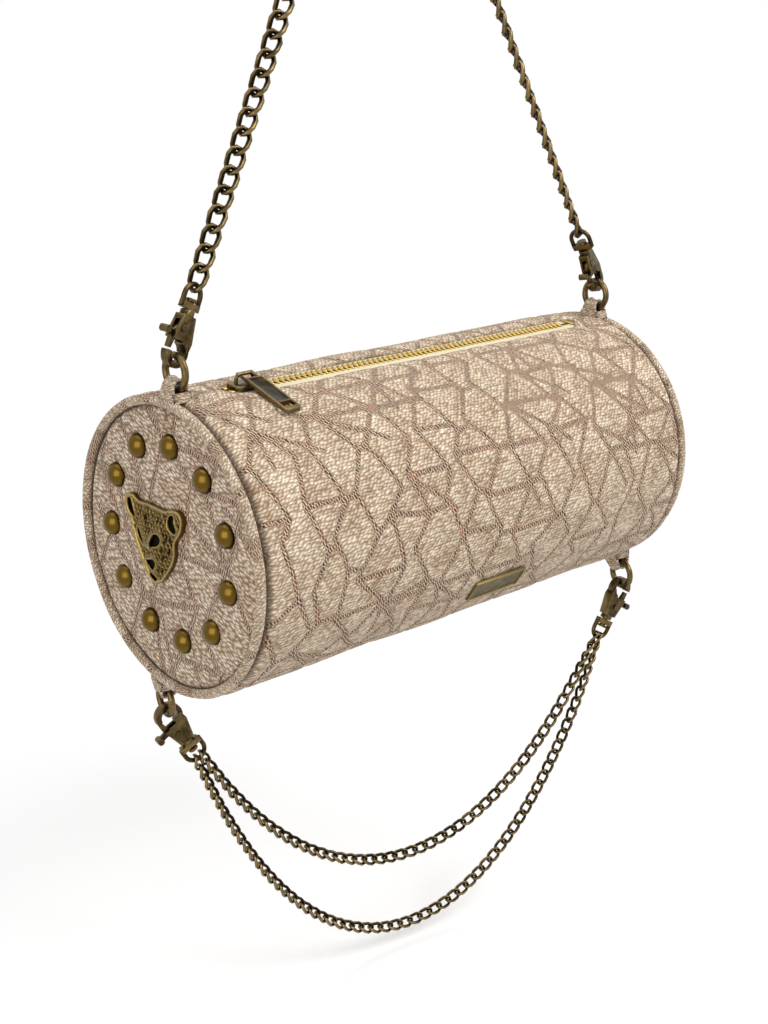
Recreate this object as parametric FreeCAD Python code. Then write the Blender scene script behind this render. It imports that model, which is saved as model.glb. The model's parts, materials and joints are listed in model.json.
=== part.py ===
import FreeCAD, Part
import math
import os

V = FreeCAD.Vector

# Driving dimensions, in millimetres and degrees. The frame's origin is the top
# of the strap's bight; X runs along the barrel, -Y is the front, Z is up.
STRAP_RISE = 256.5            # barrel axis to the top of the strap, with its plane upright
STRAP_TILT = 4.0              # strap's plane behind upright, about the upper rings
BARREL_DIAMETER = 110.0
BARREL_LENGTH = 224.8         # over the two rolled piping edges
FABRIC = 1.6                  # outer fabric thickness
STIFFENER = 1.5
BOARD = 1.2                   # card behind each end panel
LINING = 0.8
PIPING = 4.4                  # rolled edge, diameter
PIPING_INSET = 0.6            # rolled edge inside the barrel's outside
CAP_RECESS = 2.0              # end panel's face behind the rolled edge
CUP_DEPTH = 9.0               # end panel's turned-in seam allowance
SEAM_GAP = 0.1                # left between layers that are sewn together
SEAT_GAP = 0.02               # left between pieces clamped face to face
BODY_GAP = 0.3                # left between pieces that move past each other
OVERRUN = 5.0                 # how far a cutting tool runs past what it cuts

ZIP_TURN = 4.5                # zip ahead of the top of the barrel
ZIP_END_MARGIN = 4.0          # last tooth from the end of the opening
SLIDER_MARGIN = 16.0          # middle of the shut slider from the opening's end
FIRST_TOOTH = 3.5             # first tooth behind the slider's nose
OPENING_MARGIN = 17.4         # opening cut for the zip, from each end of the barrel
SLOT_HALF = 8.0               # half width of the opening cut for the zip
MOUTH_MARGIN = 4.0            # lining's mouth inside the opening, at each end
TAPE = 0.6
TAPE_SINK = 0.3               # level strip of tape under the fabric's inside
TAPE_FLAT = 4.8               # half width of the level strip
TAPE_REACH = 11.0             # outer edge of each tape from the middle
TAPE_EDGE = 1.2               # inner edge of each tape from the middle
TAPE_TAIL = 4.0               # tape past each end of the opening
TOOTH_PITCH = 2.5
TOOTH_WIDTH = 1.1
TOOTH_REACH = 0.55            # how far a tooth crosses the middle
TOOTH_ROOT = 2.6
TOOTH_HEIGHT = 2.0
STOP_LENGTH = 2.0
STOP_REACH = 3.2              # outer edge of a stop from the middle
STOP_INNER = 0.9
STOP_HEIGHT = 2.2
SLIDER_LENGTH = 11.0
SLIDER_WIDTH = 8.4
SLIDER_PLATE = 1.0
SLIDER_PLAY = 0.3
SLIDER_POST = (1.4, 1.8)      # length and width of the post that parts the teeth
BAIL_HALF = 3.6               # half span of the slider's bail, wire centre
BAIL_WIRE = 1.4
BAIL_CORNER = 1.8
BAIL_ROOT = 0.4               # bail's legs let into the slider's plate

TAG_LENGTH = 29.0
TAG_WIDTH = 7.0
TAG_THICKNESS = 1.6
TAG_NECK = 0.8                # thickness of the end that turns on the bail
TAG_BAR = 0.9                 # width of metal round the tag's slots
TAG_EYE = 3.8                 # length of the slot that takes the bail
TAG_SWING = 32.0              # how far above level the slot lets the tag rise
TAG_GAP = 0.2                 # tag clear of the bail
TAG_WINDOW = 3.4              # length of the open slot at the free end
TAG_TAIL = 2.0                # metal past the open slot
TAG_RECESS = 0.35             # depth of the bare panel
TAG_RIM = 0.8

RING_RADIUS = 5.75            # wire centre line of the four O-rings
RING_WIRE = 2.5
TAB_WALL = 1.2
TAB_SPREAD = 42.0             # half angle of ring held by a tab
TAB_FOOT = 8.0                # how far the foot runs in before it is cut to the barrel
TAB_STAND = 0.1               # sleeve above the barrel
TAB_SIDE = 0.2                # foot inside the sleeve's ends
TAB_FOOT_SHARE = 0.8          # foot's thickness over the sleeve's
RING_MARGIN = 4.4             # ring planes from each end of the barrel
LOWER_TAB_TURN = (10.0, -25.0)  # left and right lower tab, to the rear positive

STUD_COUNT = 11
STUD_CIRCLE = 35.7            # radius of the ring of studs
STUD_RISE = 2.0               # middle of that ring above the barrel's axis
STUD_DIAMETER = 9.4
STUD_HEIGHT = 3.8
STUD_PHASE = 84.2
STUD_SHANK = 1.5
STUD_FIT = 0.05               # shank's clearance in the panel and the board
STUD_TAIL = 0.05              # shank's end short of the board's inside
BACK_DIAMETER = 4.4           # washer that each shank is pressed into
BACK_THICKNESS = 0.5

ORNAMENT_SPAN = 34.0          # from ear to ear
ORNAMENT_DEPTH = 1.9
ORNAMENT_Y = 6.2
ORNAMENT_Z = -0.4

PLATE_LENGTH = 27.0
PLATE_HEIGHT = 9.6
PLATE_THICKNESS = 1.2
PLATE_RIM = 0.7
PLATE_RECESS = 0.35
PLATE_INSET = 0.3             # plate's back inside its front edge
PLATE_X = 6.5
PLATE_TURN = 33.0             # below the front of the barrel

STRAP_LINK_LENGTH = 10.8
STRAP_LINK_WIDTH = 7.4
STRAP_LINK_WIRE = 1.8
SWAG_LINK_LENGTH = 7.8
SWAG_LINK_WIDTH = 5.2
SWAG_LINK_WIRE = 1.2
LINK_SLACK = 0.25
LINK_TWIST = 45.0             # each end of a curb link against its middle
LINK_STATIONS = 8
LINK_SIDES = 5
LINK_CORNER_SHARE = 0.8       # squareness of a link's outline
LINK_REACH_SHARE = 1.05       # corner stations moved out to keep the length
LINK_FLAT_SHARE = 1.08        # corners of the five sides outside the round wire
LINK_LEAN_SHARE = 0.6         # how far the section's corners follow the ends
CHAIN_ROLL = -45.0            # turn of the flat chains about their own run
SWAG_END_ROLL = -90.0         # further turn of the swags at their right end
SWAG_TURN_SHARE = 0.85        # where along a swag that turn begins
STRAP_BIGHT = 22.0            # radius of the strap's bend at the top
UPPER_SWAG_DROP = 77.0        # below the lower eyes
LOWER_SWAG_DROP = 110.0
SWAG_PART = 1.4               # each swag to its side of the middle of an eye
SWAG_DIP = 0.30               # lower seat that this gives them in the eye's bow
LINK_SEAT = 0.30              # first link clear of the eye it hangs in
BEND_STEPS = 24
CURVE_STEPS = 120

CLASP_LEAN_LOWER = 30.0
CLASP_TURN_UPPER = 15.0       # clasps turned about their own axis
EYE_TURN_RIGHT = 90.0         # strap's right eye on its swivel, to meet the chain's roll
CLASP_SPAN = 30.0             # sets the outlines of the hook and the lever
CLAW_RADIUS = 5.3
CLAW_WALL = 2.1
CLAW_GAP_UPPER = 1.0          # ring's wire clear of the turned claw that hooks it
CLAW_GAP_LOWER = 0.5          # the same at the swags, whose claws aren't turned
CLAW_WIDTH = 3.0
HOOK_WIDTH = 4.2
HOOK_SLOT = 2.1               # slot that takes the lever
LEVER_WIDTH = 1.5
THUMB_RADIUS = 1.3
THUMB_WIDTH = 3.4
SHOULDER = 18.2               # top of the hook's body, from the claw's end
COLLAR_RADIUS = 2.5
COLLAR_HEIGHT = 1.9
NECK_RADIUS = 1.2
NECK_FIT = 0.05
HEAD_RADIUS = 2.0
HEAD_HEIGHT = 1.1
EYE_HALF = 4.1                # half span of the eye, wire centre
EYE_WIRE = 1.8
EYE_BASE_HEIGHT = 2.3
EYE_BASE_DEPTH = 2.6
EYE_CROWN = 0.9               # centre of the bow above the rivet head
RIVET_RADIUS = 0.8
RIVET_FIT = 0.02
LEVER_FIT = 0.05
RIVET_HEAD = 1.35
RIVET_HEAD_HEIGHT = 0.38
LET_IN = 0.1                  # how far joined forms run into each other

# Outlines as shares. The clasp's are (side, height) over CLASP_SPAN, from the
# claw's end; the head's are (side, height) over ORNAMENT_SPAN, from its middle.
HOOK_BODY_SHARES = [(-0.163, 0.320), (-0.100, 0.607), (0.100, 0.607), (0.163, 0.320), (0.140, 0.200),
                    (-0.133, 0.253)]
HOOK_GATE_SHARES = [(-0.300, 0.173), (0.020, 0.173), (0.020, 0.313), (-0.300, 0.313)]
HOOK_SLOT_SHARES = [(-0.300, 0.307), (0.080, 0.307), (0.080, 0.540), (-0.300, 0.540)]
LEVER_SHARES = [(-0.173, 0.199), (-0.117, 0.199), (-0.097, 0.300), (0.007, 0.420), (0.013, 0.487),
                (-0.040, 0.510), (-0.100, 0.473), (-0.153, 0.400), (-0.277, 0.410), (-0.297, 0.383),
                (-0.287, 0.350), (-0.173, 0.333)]
LEVER_PIVOT_SHARES = (-0.040, 0.453)
THUMB_SHARES = (-0.267, 0.380)
HEAD_HALF_SHARES = [(0.135, 0.332), (0.259, 0.365), (0.371, 0.441), (0.468, 0.447), (0.500, 0.347),
                    (0.459, 0.229), (0.400, 0.129), (0.394, 0.024), (0.359, -0.088), (0.300, -0.188),
                    (0.247, -0.282), (0.194, -0.388), (0.100, -0.453)]
HEAD_TOP_SHARE = 0.321
HEAD_CHIN_SHARE = -0.468
# Openings of the head as (side, height, length, width) shares and a lean in degrees.
EAR_SHARES = (0.418, 0.312, 0.176, 0.065, 68.0)
EYE_SHARES = (0.182, 0.018, 0.141, 0.079, 24.0)
NOSE_SHARES = (0.0, -0.194, 0.135, 0.079, 0.0)
MOUTH_SHARES = (0.0, -0.347, 0.165, 0.047, 0.0)
SPOT_SHARES = (0.059, 0.044)  # length and width of a coat spot
# Rows of coat spots: first spot's side, height, count, rise from spot to spot.
SPOT_ROW_SHARES = [(0.044, 0.247, 4, 0.015), (0.065, 0.153, 3, 0.015),
                   (0.085, -0.118, 3, 0.009), (0.106, -0.212, 2, 0.009)]
SPOT_STEP_SHARE = 0.079
SPOT_LEAN = (20.0, 12.0)      # lean of a row's first spot, and added to each next
# Slider's plan from the nose, as shares of its length and width.
SLIDER_SHARES = [(-0.50, 0.34), (-0.36, 0.50), (0.05, 0.50), (0.36, 0.41), (0.50, 0.40)]

# Sizes that follow.
R = BARREL_DIAMETER / 2
END_X = BARREL_LENGTH / 2
OPENING_HALF = END_X - OPENING_MARGIN
SLIDER_X = SLIDER_MARGIN - OPENING_HALF
ZIP_END = OPENING_HALF - ZIP_END_MARGIN
RING_STATION = END_X - RING_MARGIN
PIPE_X = END_X - PIPING / 2
PIPE_RADIUS = R - PIPING_INSET - PIPING / 2
PANEL_IN = R - FABRIC
STIFF_OUT = PANEL_IN - SEAM_GAP
STIFF_IN = STIFF_OUT - STIFFENER
CUP_OUT = min(STIFF_IN, PIPE_RADIUS - PIPING / 2) - SEAM_GAP
CUP_IN = CUP_OUT - FABRIC
LINING_OUT = CUP_IN - 3 * SEAM_GAP
LINING_IN = LINING_OUT - LINING
PANEL_X = PIPE_X - PIPING / 2 - SEAM_GAP
CAP_FACE = END_X - CAP_RECESS
TAPE_TOP = PANEL_IN - TAPE_SINK
TAPE_LOW = TAPE_TOP - TAPE
TAPE_MID = TAPE_TOP - TAPE / 2
TAPE_SIDE_TOP = math.sqrt(PANEL_IN ** 2 - TAPE_REACH ** 2) - SEAM_GAP
ZIP_START = SLIDER_X - SLIDER_LENGTH / 2 + FIRST_TOOTH
SLIDER_ROOF = TAPE_MID + TOOTH_HEIGHT / 2 + SLIDER_PLAY
SLIDER_FLOOR = TAPE_MID - TOOTH_HEIGHT / 2 - SLIDER_PLAY
SLIDER_TOP = SLIDER_ROOF + SLIDER_PLATE
TAG_DROP = BAIL_WIRE / 2 + TAG_GAP + TAG_NECK / 2
SWING = math.radians(TAG_SWING)
TAG_EYE_BACK = TAG_DROP * math.tan(SWING) + BAIL_WIRE / 2 / math.cos(SWING) + TAG_GAP
TAG_BACK = TAG_EYE_BACK + TAG_BAR
BAIL_RISE = math.hypot(TAG_BACK, TAG_DROP + TAG_NECK / 2) + TAG_GAP
BAIL_TOP = SLIDER_TOP + BAIL_RISE
TAG_X = SLIDER_X + BAIL_HALF + BAIL_WIRE / 2 + TAG_GAP - (TAG_WIDTH / 2 - TAG_BAR)
TAB_BORE = RING_WIRE / 2 + BODY_GAP
LOOP_RADIUS = R + TAB_BORE + TAB_WALL + TAB_STAND
RING_LIFT = LOOP_RADIUS + RING_RADIUS
STUD_BED = FABRIC + BOARD + SEAM_GAP
STRAP_LINK = (STRAP_LINK_LENGTH, STRAP_LINK_WIDTH, STRAP_LINK_WIRE)
SWAG_LINK = (SWAG_LINK_LENGTH, SWAG_LINK_WIDTH, SWAG_LINK_WIRE)
CLAW_SEAT = CLAW_WALL + RING_WIRE / 2
COLLAR_TOP = SHOULDER - LET_IN + COLLAR_HEIGHT
EYE_LOW = COLLAR_TOP + BODY_GAP
EYE_HIGH = EYE_LOW + EYE_BASE_HEIGHT
HEAD_LOW = EYE_HIGH + BODY_GAP
BOW_Z = HEAD_LOW + HEAD_HEIGHT + EYE_CROWN
LEVER_PIVOT = tuple(share * CLASP_SPAN for share in LEVER_PIVOT_SHARES)
THUMB = tuple(share * CLASP_SPAN for share in THUMB_SHARES)

OUT = {}
PIVOTS = {}
UPPER_RING_Y = -RING_LIFT * math.sin(math.radians(ZIP_TURN))
UPPER_RING_Z = RING_LIFT * math.cos(math.radians(ZIP_TURN))
HANG_ARM = STRAP_RISE - UPPER_RING_Z
HANG_Y = UPPER_RING_Y + HANG_ARM * math.sin(math.radians(STRAP_TILT))
HANG_Z = UPPER_RING_Z + HANG_ARM * math.cos(math.radians(STRAP_TILT))
BAG = V(0, -HANG_Y, -HANG_Z)


def keep(name, shape, place=BAG):
    """Store one piece, moved from the barrel's axis to the shared frame."""
    done = shape.copy()
    done.translate(place)
    OUT[name] = done


def pivot(name, point, axis):
    """Note a joint's point and axis in the shared frame."""
    at = point + BAG
    PIVOTS[name] = [[round(c, 4) for c in at], [round(c, 6) for c in axis]]


def tube(outer, inner, x0, x1):
    return rod(outer, x0, x1).cut(rod(inner, x0, x1))


def rod(radius, x0, x1):
    return Part.makeCylinder(radius, x1 - x0, V(x0, 0, 0), V(1, 0, 0))


def box(x0, x1, y0, y1, z0, z1):
    return Part.makeBox(x1 - x0, y1 - y0, z1 - z0, V(x0, y0, z0))


def mirror_x(shape):
    return shape.mirror(V(0, 0, 0), V(1, 0, 0))


def mirror_y(shape):
    return shape.mirror(V(0, 0, 0), V(0, 1, 0))


def scaled(shares, size):
    return [(a * size, b * size) for a, b in shares]


def plate_xz(points, y0, y1):
    """A flat plate from (x, z) points, as thick as y0 to y1."""
    wire = Part.makePolygon([V(x, y0, z) for x, z in points + points[:1]])
    return Part.Face(wire).extrude(V(0, y1 - y0, 0))


def plate_xy(points, z0, z1):
    wire = Part.makePolygon([V(x, y, z0) for x, y in points + points[:1]])
    return Part.Face(wire).extrude(V(0, 0, z1 - z0))


def strip_yz(points, x0, x1):
    wire = Part.makePolygon([V(x0, y, z) for y, z in points + points[:1]])
    return Part.Face(wire).extrude(V(x1 - x0, 0, 0))


def pin_y(radius, half_width, at):
    """A round pin along local Y through an (x, z) point."""
    x, z = at
    return Part.makeCylinder(radius, 2 * half_width, V(x, -half_width, z), V(0, 1, 0))


def post_z(radius, z0, z1):
    return Part.makeCylinder(radius, z1 - z0, V(0, 0, z0), V(0, 0, 1))


def frame(origin, x_axis, z_axis):
    """Placement that carries local X and Z onto the two given directions."""
    x = V(x_axis).normalize()
    z = V(z_axis) - x * V(z_axis).dot(x)
    z.normalize()
    y = z.cross(x)
    m = FreeCAD.Matrix(x.x, y.x, z.x, origin.x, x.y, y.y, z.y, origin.y,
                       x.z, y.z, z.z, origin.z, 0, 0, 0, 1)
    return FreeCAD.Placement(m)


def placed(shape, placement):
    done = shape.copy()
    done.Placement = placement.multiply(done.Placement)
    return done


def zip_turned(shape):
    """Turn a shape made at the top of the barrel to where the zip runs."""
    done = shape.copy()
    done.rotate(V(0, 0, 0), V(1, 0, 0), ZIP_TURN)
    return done


def build_barrel():
    top = R + OVERRUN
    slot = box(-OPENING_HALF, OPENING_HALF, -SLOT_HALF, SLOT_HALF, 0, top)
    keep("body_panel", tube(R, PANEL_IN, -PANEL_X, PANEL_X).cut(zip_turned(slot)))

    tape_end = OPENING_HALF + TAPE_TAIL + BODY_GAP
    tape_side = TAPE_REACH + BODY_GAP
    wide = box(-tape_end, tape_end, -tape_side, tape_side, 0, top)
    keep("stiffener", tube(STIFF_OUT, STIFF_IN, -PANEL_X, PANEL_X).cut(zip_turned(wide)))

    inner_x = CAP_FACE - STUD_BED - BACK_THICKNESS - 2 * SEAM_GAP
    pocket = rod(LINING_OUT, -inner_x, inner_x).cut(rod(LINING_IN, -inner_x + LINING, inner_x - LINING))
    mouth = OPENING_HALF - MOUTH_MARGIN
    keep("lining", pocket.cut(zip_turned(box(-mouth, mouth, -SLOT_HALF, SLOT_HALF, 0, top))))

    cup = rod(CUP_OUT, -CAP_FACE, -CAP_FACE + CUP_DEPTH)
    cup = cup.cut(rod(CUP_IN, -CAP_FACE + FABRIC, -CAP_FACE + CUP_DEPTH))
    board_face = -CAP_FACE + FABRIC + SEAM_GAP / 2
    board = rod(CUP_IN - SEAM_GAP, board_face, board_face + BOARD)
    hole = rod(STUD_SHANK / 2 + STUD_FIT, -CAP_FACE - OVERRUN, -CAP_FACE + OVERRUN)
    holes = Part.makeCompound([hole.translated(V(0, y, z)) for y, z in stud_places()])
    keep("left_end_panel", cup.cut(holes))
    keep("left_end_board", board.cut(holes))
    keep("right_end_panel", mirror_x(cup))
    keep("right_end_board", mirror_x(board))
    keep("left_piping", piping(-1, 0))
    keep("right_piping", piping(1, 0))


def piping(side, grow):
    return Part.makeTorus(PIPE_RADIUS, PIPING / 2 + grow, V(side * PIPE_X, 0, 0), V(1, 0, 0))


def stud_places():
    turns = [math.radians(STUD_PHASE + 360.0 * k / STUD_COUNT) for k in range(STUD_COUNT)]
    return [(-STUD_CIRCLE * math.cos(a), STUD_RISE + STUD_CIRCLE * math.sin(a)) for a in turns]


def build_studs():
    r = STUD_DIAMETER / 2
    ball = (r * r + STUD_HEIGHT ** 2) / (2 * STUD_HEIGHT)
    half = math.asin(r / ball) / 2
    middle = V(ball - STUD_HEIGHT - ball * math.cos(half), ball * math.sin(half), 0)
    arc = Part.Arc(V(-STUD_HEIGHT, 0, 0), middle, V(0, r, 0)).toShape()
    shank = STUD_SHANK / 2
    tip = STUD_BED - STUD_TAIL
    edge = Part.makePolygon([V(0, r, 0), V(0, shank, 0), V(tip, shank, 0), V(tip, 0, 0), V(-STUD_HEIGHT, 0, 0)])
    stud = Part.Face(Part.Wire([arc] + edge.Edges)).revolve(V(0, 0, 0), V(1, 0, 0), 360)
    back = Part.makeCylinder(BACK_DIAMETER / 2, BACK_THICKNESS, V(0, 0, 0), V(1, 0, 0))
    front, rear = [], []
    for y, z in stud_places():
        front.append(stud.translated(V(-CAP_FACE - SEAT_GAP, y, z)))
        rear.append(back.translated(V(-CAP_FACE + STUD_BED, y, z)))
    keep("dome_studs", Part.makeCompound(front))
    keep("stud_backs", Part.makeCompound(rear))


def head_outline():
    half = scaled(HEAD_HALF_SHARES, ORNAMENT_SPAN)
    top = (0, HEAD_TOP_SHARE * ORNAMENT_SPAN)
    chin = (0, HEAD_CHIN_SHARE * ORNAMENT_SPAN)
    return [top] + half + [chin] + [(-y, z) for y, z in reversed(half)]


def head_openings():
    """Openings as (y, z, length, width, lean), both halves of the head."""
    pairs = [EAR_SHARES, EYE_SHARES]
    first_lean, next_lean = SPOT_LEAN
    for side, height, count, rise in SPOT_ROW_SHARES:
        for k in range(count):
            pairs.append((side + SPOT_STEP_SHARE * k, height + rise * k) + SPOT_SHARES
                         + (first_lean + next_lean * k,))
    mirrored = [(-y, z, length, width, 180 - lean) for y, z, length, width, lean in pairs]
    every = pairs + mirrored + [NOSE_SHARES, MOUTH_SHARES]
    return [tuple(share * ORNAMENT_SPAN for share in one[:4]) + one[4:] for one in every]


def build_ornament():
    back = -CAP_FACE - SEAT_GAP
    front = back - ORNAMENT_DEPTH
    curve = Part.BSplineCurve()
    curve.interpolate(Points=[V(front, y, z) for y, z in head_outline()], PeriodicFlag=True)
    solid = Part.Face(Part.Wire(curve.toShape())).extrude(V(back - front, 0, 0))
    tools = []
    for y, z, length, width, lean in head_openings():
        rim = Part.Wire(Part.Ellipse(V(0, 0, 0), length / 2, width / 2).toShape())
        disc = Part.Face(rim).extrude(V(0, 0, ORNAMENT_DEPTH + 2 * OVERRUN))
        disc.rotate(V(0, 0, 0), V(0, 0, 1), lean)
        disc.rotate(V(0, 0, 0), V(1, 1, 1), 120)
        tools.append(disc.translated(V(front - OVERRUN, y, z)))
    solid = solid.cut(Part.makeCompound(tools))
    keep("cat_ornament", solid.translated(V(0, ORNAMENT_Y, ORNAMENT_Z)))


def build_plate():
    x, z, t = PLATE_LENGTH / 2, PLATE_HEIGHT / 2, PLATE_THICKNESS
    plate = box(-x, x, -t, 0, -z, z)
    panel_x, panel_z = x - PLATE_RIM, z - PLATE_RIM
    plate = plate.cut(box(-panel_x, panel_x, -t - OVERRUN, -t + PLATE_RECESS, -panel_z, panel_z))
    bed = R - math.sqrt(R * R - z * z) + FABRIC
    plate = plate.fuse(box(-x + PLATE_INSET, x - PLATE_INSET, 0, bed, -z + PLATE_INSET, z - PLATE_INSET))
    plate = plate.removeSplitter().translated(V(PLATE_X, -R - SEAT_GAP, 0))
    plate.rotate(V(0, 0, 0), V(1, 0, 0), PLATE_TURN)
    keep("name_plate", plate.cut(rod(R + SEAT_GAP, -END_X, END_X)))


def build_zip():
    end = OPENING_HALF + TAPE_TAIL
    profile = [(-TAPE_EDGE, TAPE_TOP), (-TAPE_FLAT, TAPE_TOP), (-TAPE_REACH, TAPE_SIDE_TOP),
               (-TAPE_REACH, TAPE_SIDE_TOP - TAPE), (-TAPE_FLAT, TAPE_LOW), (-TAPE_EDGE, TAPE_LOW)]
    tape = strip_yz(profile, -end, end)
    keep("front_zip_tape", zip_turned(tape))
    keep("rear_zip_tape", zip_turned(mirror_y(tape)))

    h = TOOTH_HEIGHT / 2
    grip = box(-end, end, -TAPE_REACH, -TAPE_EDGE + SEAT_GAP, TAPE_LOW - SEAT_GAP, TAPE_TOP + SEAT_GAP)
    tooth = box(-TOOTH_WIDTH / 2, TOOTH_WIDTH / 2, -TOOTH_ROOT, TOOTH_REACH, TAPE_MID - h, TAPE_MID + h)
    tooth = tooth.cut(grip)
    rear_tooth = zip_turned(mirror_y(tooth))
    tooth = zip_turned(tooth)
    count = int((ZIP_END - ZIP_START - TOOTH_PITCH) / TOOTH_PITCH)
    start = ZIP_START + TOOTH_WIDTH / 2
    front = [tooth.translated(V(start + k * TOOTH_PITCH, 0, 0)) for k in range(count)]
    rear = [rear_tooth.translated(V(start + k * TOOTH_PITCH + TOOTH_PITCH / 2, 0, 0)) for k in range(count)]
    keep("front_zip_teeth", Part.makeCompound(front))
    keep("rear_zip_teeth", Part.makeCompound(rear))

    low, high = TAPE_MID - STOP_HEIGHT / 2, TAPE_MID + STOP_HEIGHT / 2
    stop = box(-STOP_LENGTH / 2, STOP_LENGTH / 2, -STOP_REACH, -STOP_INNER, low, high).cut(grip)
    stop.translate(V(SLIDER_X - SLIDER_LENGTH / 2 - BODY_GAP - STOP_LENGTH / 2, 0, 0))
    far = box(-STOP_LENGTH / 2, STOP_LENGTH / 2, -STOP_REACH, STOP_REACH, low, high)
    far = far.cut(grip).cut(mirror_y(grip)).translated(V(ZIP_END + STOP_LENGTH / 2, 0, 0))
    keep("zip_stops", zip_turned(Part.makeCompound([stop, mirror_y(stop), far])))


def bail():
    """Round wire arch along the slider, its legs let into the top plate."""
    half, top, c = BAIL_HALF, BAIL_TOP, BAIL_CORNER
    root = SLIDER_TOP - BAIL_ROOT
    bend = c - c * math.sqrt(0.5)
    edges = [Part.LineSegment(V(-half, 0, root), V(-half, 0, top - c)).toShape(),
             Part.Arc(V(-half, 0, top - c), V(-half + bend, 0, top - bend), V(-half + c, 0, top)).toShape(),
             Part.LineSegment(V(-half + c, 0, top), V(half - c, 0, top)).toShape(),
             Part.Arc(V(half - c, 0, top), V(half - bend, 0, top - bend), V(half, 0, top - c)).toShape(),
             Part.LineSegment(V(half, 0, top - c), V(half, 0, root)).toShape()]
    section = Part.Wire(Part.Circle(V(-half, 0, root), V(0, 0, 1), BAIL_WIRE / 2).toShape())
    return Part.Wire(edges).makePipeShell([section], True, False)


def build_slider():
    plan = [(a * SLIDER_LENGTH, b * SLIDER_WIDTH) for a, b in SLIDER_SHARES]
    plan = plan + [(x, -y) for x, y in reversed(plan)]
    body = plate_xy(plan, SLIDER_FLOOR - SLIDER_PLATE, SLIDER_TOP)
    length, width = SLIDER_LENGTH, SLIDER_WIDTH
    channel = TOOTH_ROOT + SLIDER_PLAY
    body = body.cut(box(-length, length, -channel, channel, SLIDER_FLOOR, SLIDER_ROOF))
    tape_gap = TAPE / 2 + SLIDER_PLAY
    body = body.cut(box(-length, length, -width, width, TAPE_MID - tape_gap, TAPE_MID + tape_gap))
    post_length, post_width = SLIDER_POST
    nose = -length / 2
    body = body.fuse(box(nose, nose + post_length, -post_width / 2, post_width / 2, SLIDER_FLOOR, SLIDER_ROOF))
    body = body.fuse(bail()).removeSplitter()
    keep("zip_slider", zip_turned(body.translated(V(SLIDER_X, 0, 0))))


def build_tag():
    """The pull tag, modelled flat with the bail's wire along X at its origin."""
    side, back, front = TAG_WIDTH / 2, TAG_BACK, TAG_BACK - TAG_LENGTH
    z0 = -TAG_DROP - TAG_NECK / 2
    z1 = z0 + TAG_THICKNESS
    neck_top = z0 + TAG_NECK
    inner = side - TAG_BAR
    eye_back = TAG_EYE_BACK
    eye_front = eye_back - TAG_EYE
    neck_front = eye_front - TAG_BAR
    low, high = z0 - OVERRUN, z1 + OVERRUN
    tag = box(-side, side, front, back, z0, z1)
    tag = tag.cut(box(-side - OVERRUN, side + OVERRUN, neck_front, back + OVERRUN, neck_top, high))
    tag = tag.cut(box(-inner, inner, eye_front, eye_back, low, high))
    window_front = front + TAG_TAIL
    window_back = window_front + TAG_WINDOW
    tag = tag.cut(box(-inner, inner, window_front, window_back, low, high))
    rim = side - TAG_RIM
    tag = tag.cut(box(-rim, rim, window_back + TAG_RIM, neck_front - TAG_RIM, z1 - TAG_RECESS, high))
    corner = box(-side, side, -side, side, low, high)
    corner.rotate(V(0, 0, 0), V(0, 0, 1), 45)
    for turn in (-1, 1):
        tag = tag.cut(corner.translated(V(turn * (side + side * math.sqrt(2) - TAG_RIM), front, 0)))
    tag.rotate(V(0, 0, 0), V(1, 0, 0), tag_slope())
    keep("pull_tag", zip_turned(tag.translated(V(TAG_X, 0, BAIL_TOP))))
    turned = FreeCAD.Rotation(V(1, 0, 0), ZIP_TURN)
    pivot("pull_tag", turned.multVec(V(TAG_X, 0, BAIL_TOP)), V(-1, 0, 0))


def tag_slope():
    """Slope that lays the tag's underside just clear of the barrel."""
    lift = R + BODY_GAP + TAG_DROP + TAG_NECK / 2
    return math.degrees(math.acos(lift / BAIL_TOP))


def ring_at(centre, axis):
    return Part.makeTorus(RING_RADIUS, RING_WIRE / 2, centre, axis)


def tab_at(side, centre, axis, toward):
    """A folded tab whose sleeve holds a ring, its foot cut to the barrel."""
    across = axis.cross(toward)
    seat = centre + toward * RING_RADIUS
    thick = TAB_BORE + TAB_WALL
    outer = Part.Face(Part.Wire(Part.Circle(seat, across, thick).toShape()))
    outer.rotate(centre, axis, -TAB_SPREAD)
    sleeve = outer.revolve(centre, axis, 2 * TAB_SPREAD)
    half_width = RING_RADIUS * math.sin(math.radians(TAB_SPREAD)) - TAB_SIDE
    half_thick = thick * TAB_FOOT_SHARE
    foot = box(-half_thick, half_thick, -half_width, half_width, 0, TAB_FOOT)
    tab = sleeve.fuse(placed(foot, frame(seat, axis, toward))).removeSplitter()
    tab = tab.cut(Part.makeTorus(RING_RADIUS, TAB_BORE, centre, axis))
    tab = tab.cut(piping(side, SEAT_GAP))
    return tab.cut(rod(R + SEAT_GAP, -END_X, END_X))


def upper_ring(side):
    return V(side * RING_STATION, UPPER_RING_Y, UPPER_RING_Z)


def lower_ring(side):
    turn = math.radians(LOWER_TAB_TURN[0 if side < 0 else 1])
    return V(side * RING_STATION, RING_LIFT * math.sin(turn), -RING_LIFT * math.cos(turn))


def swag_axis():
    return (lower_ring(1) - lower_ring(-1)).normalize()


def build_tabs():
    along = V(1, 0, 0)
    axis = swag_axis()
    for side, word in ((-1, "left"), (1, "right")):
        top, low = upper_ring(side), lower_ring(side)
        keep("upper_%s_ring" % word, ring_at(top, along))
        keep("upper_%s_tab" % word, tab_at(side, top, along, V(0, -top.y, -top.z).normalize()))
        up = V(0, -low.y, -low.z)
        up = (up - axis * up.dot(axis)).normalize()
        keep("lower_%s_ring" % word, ring_at(low, axis))
        keep("lower_%s_tab" % word, tab_at(side, low, axis, up))
        pivot("upper_%s_ring" % word, top, along)
        pivot("lower_%s_ring" % word, low, axis)


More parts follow.
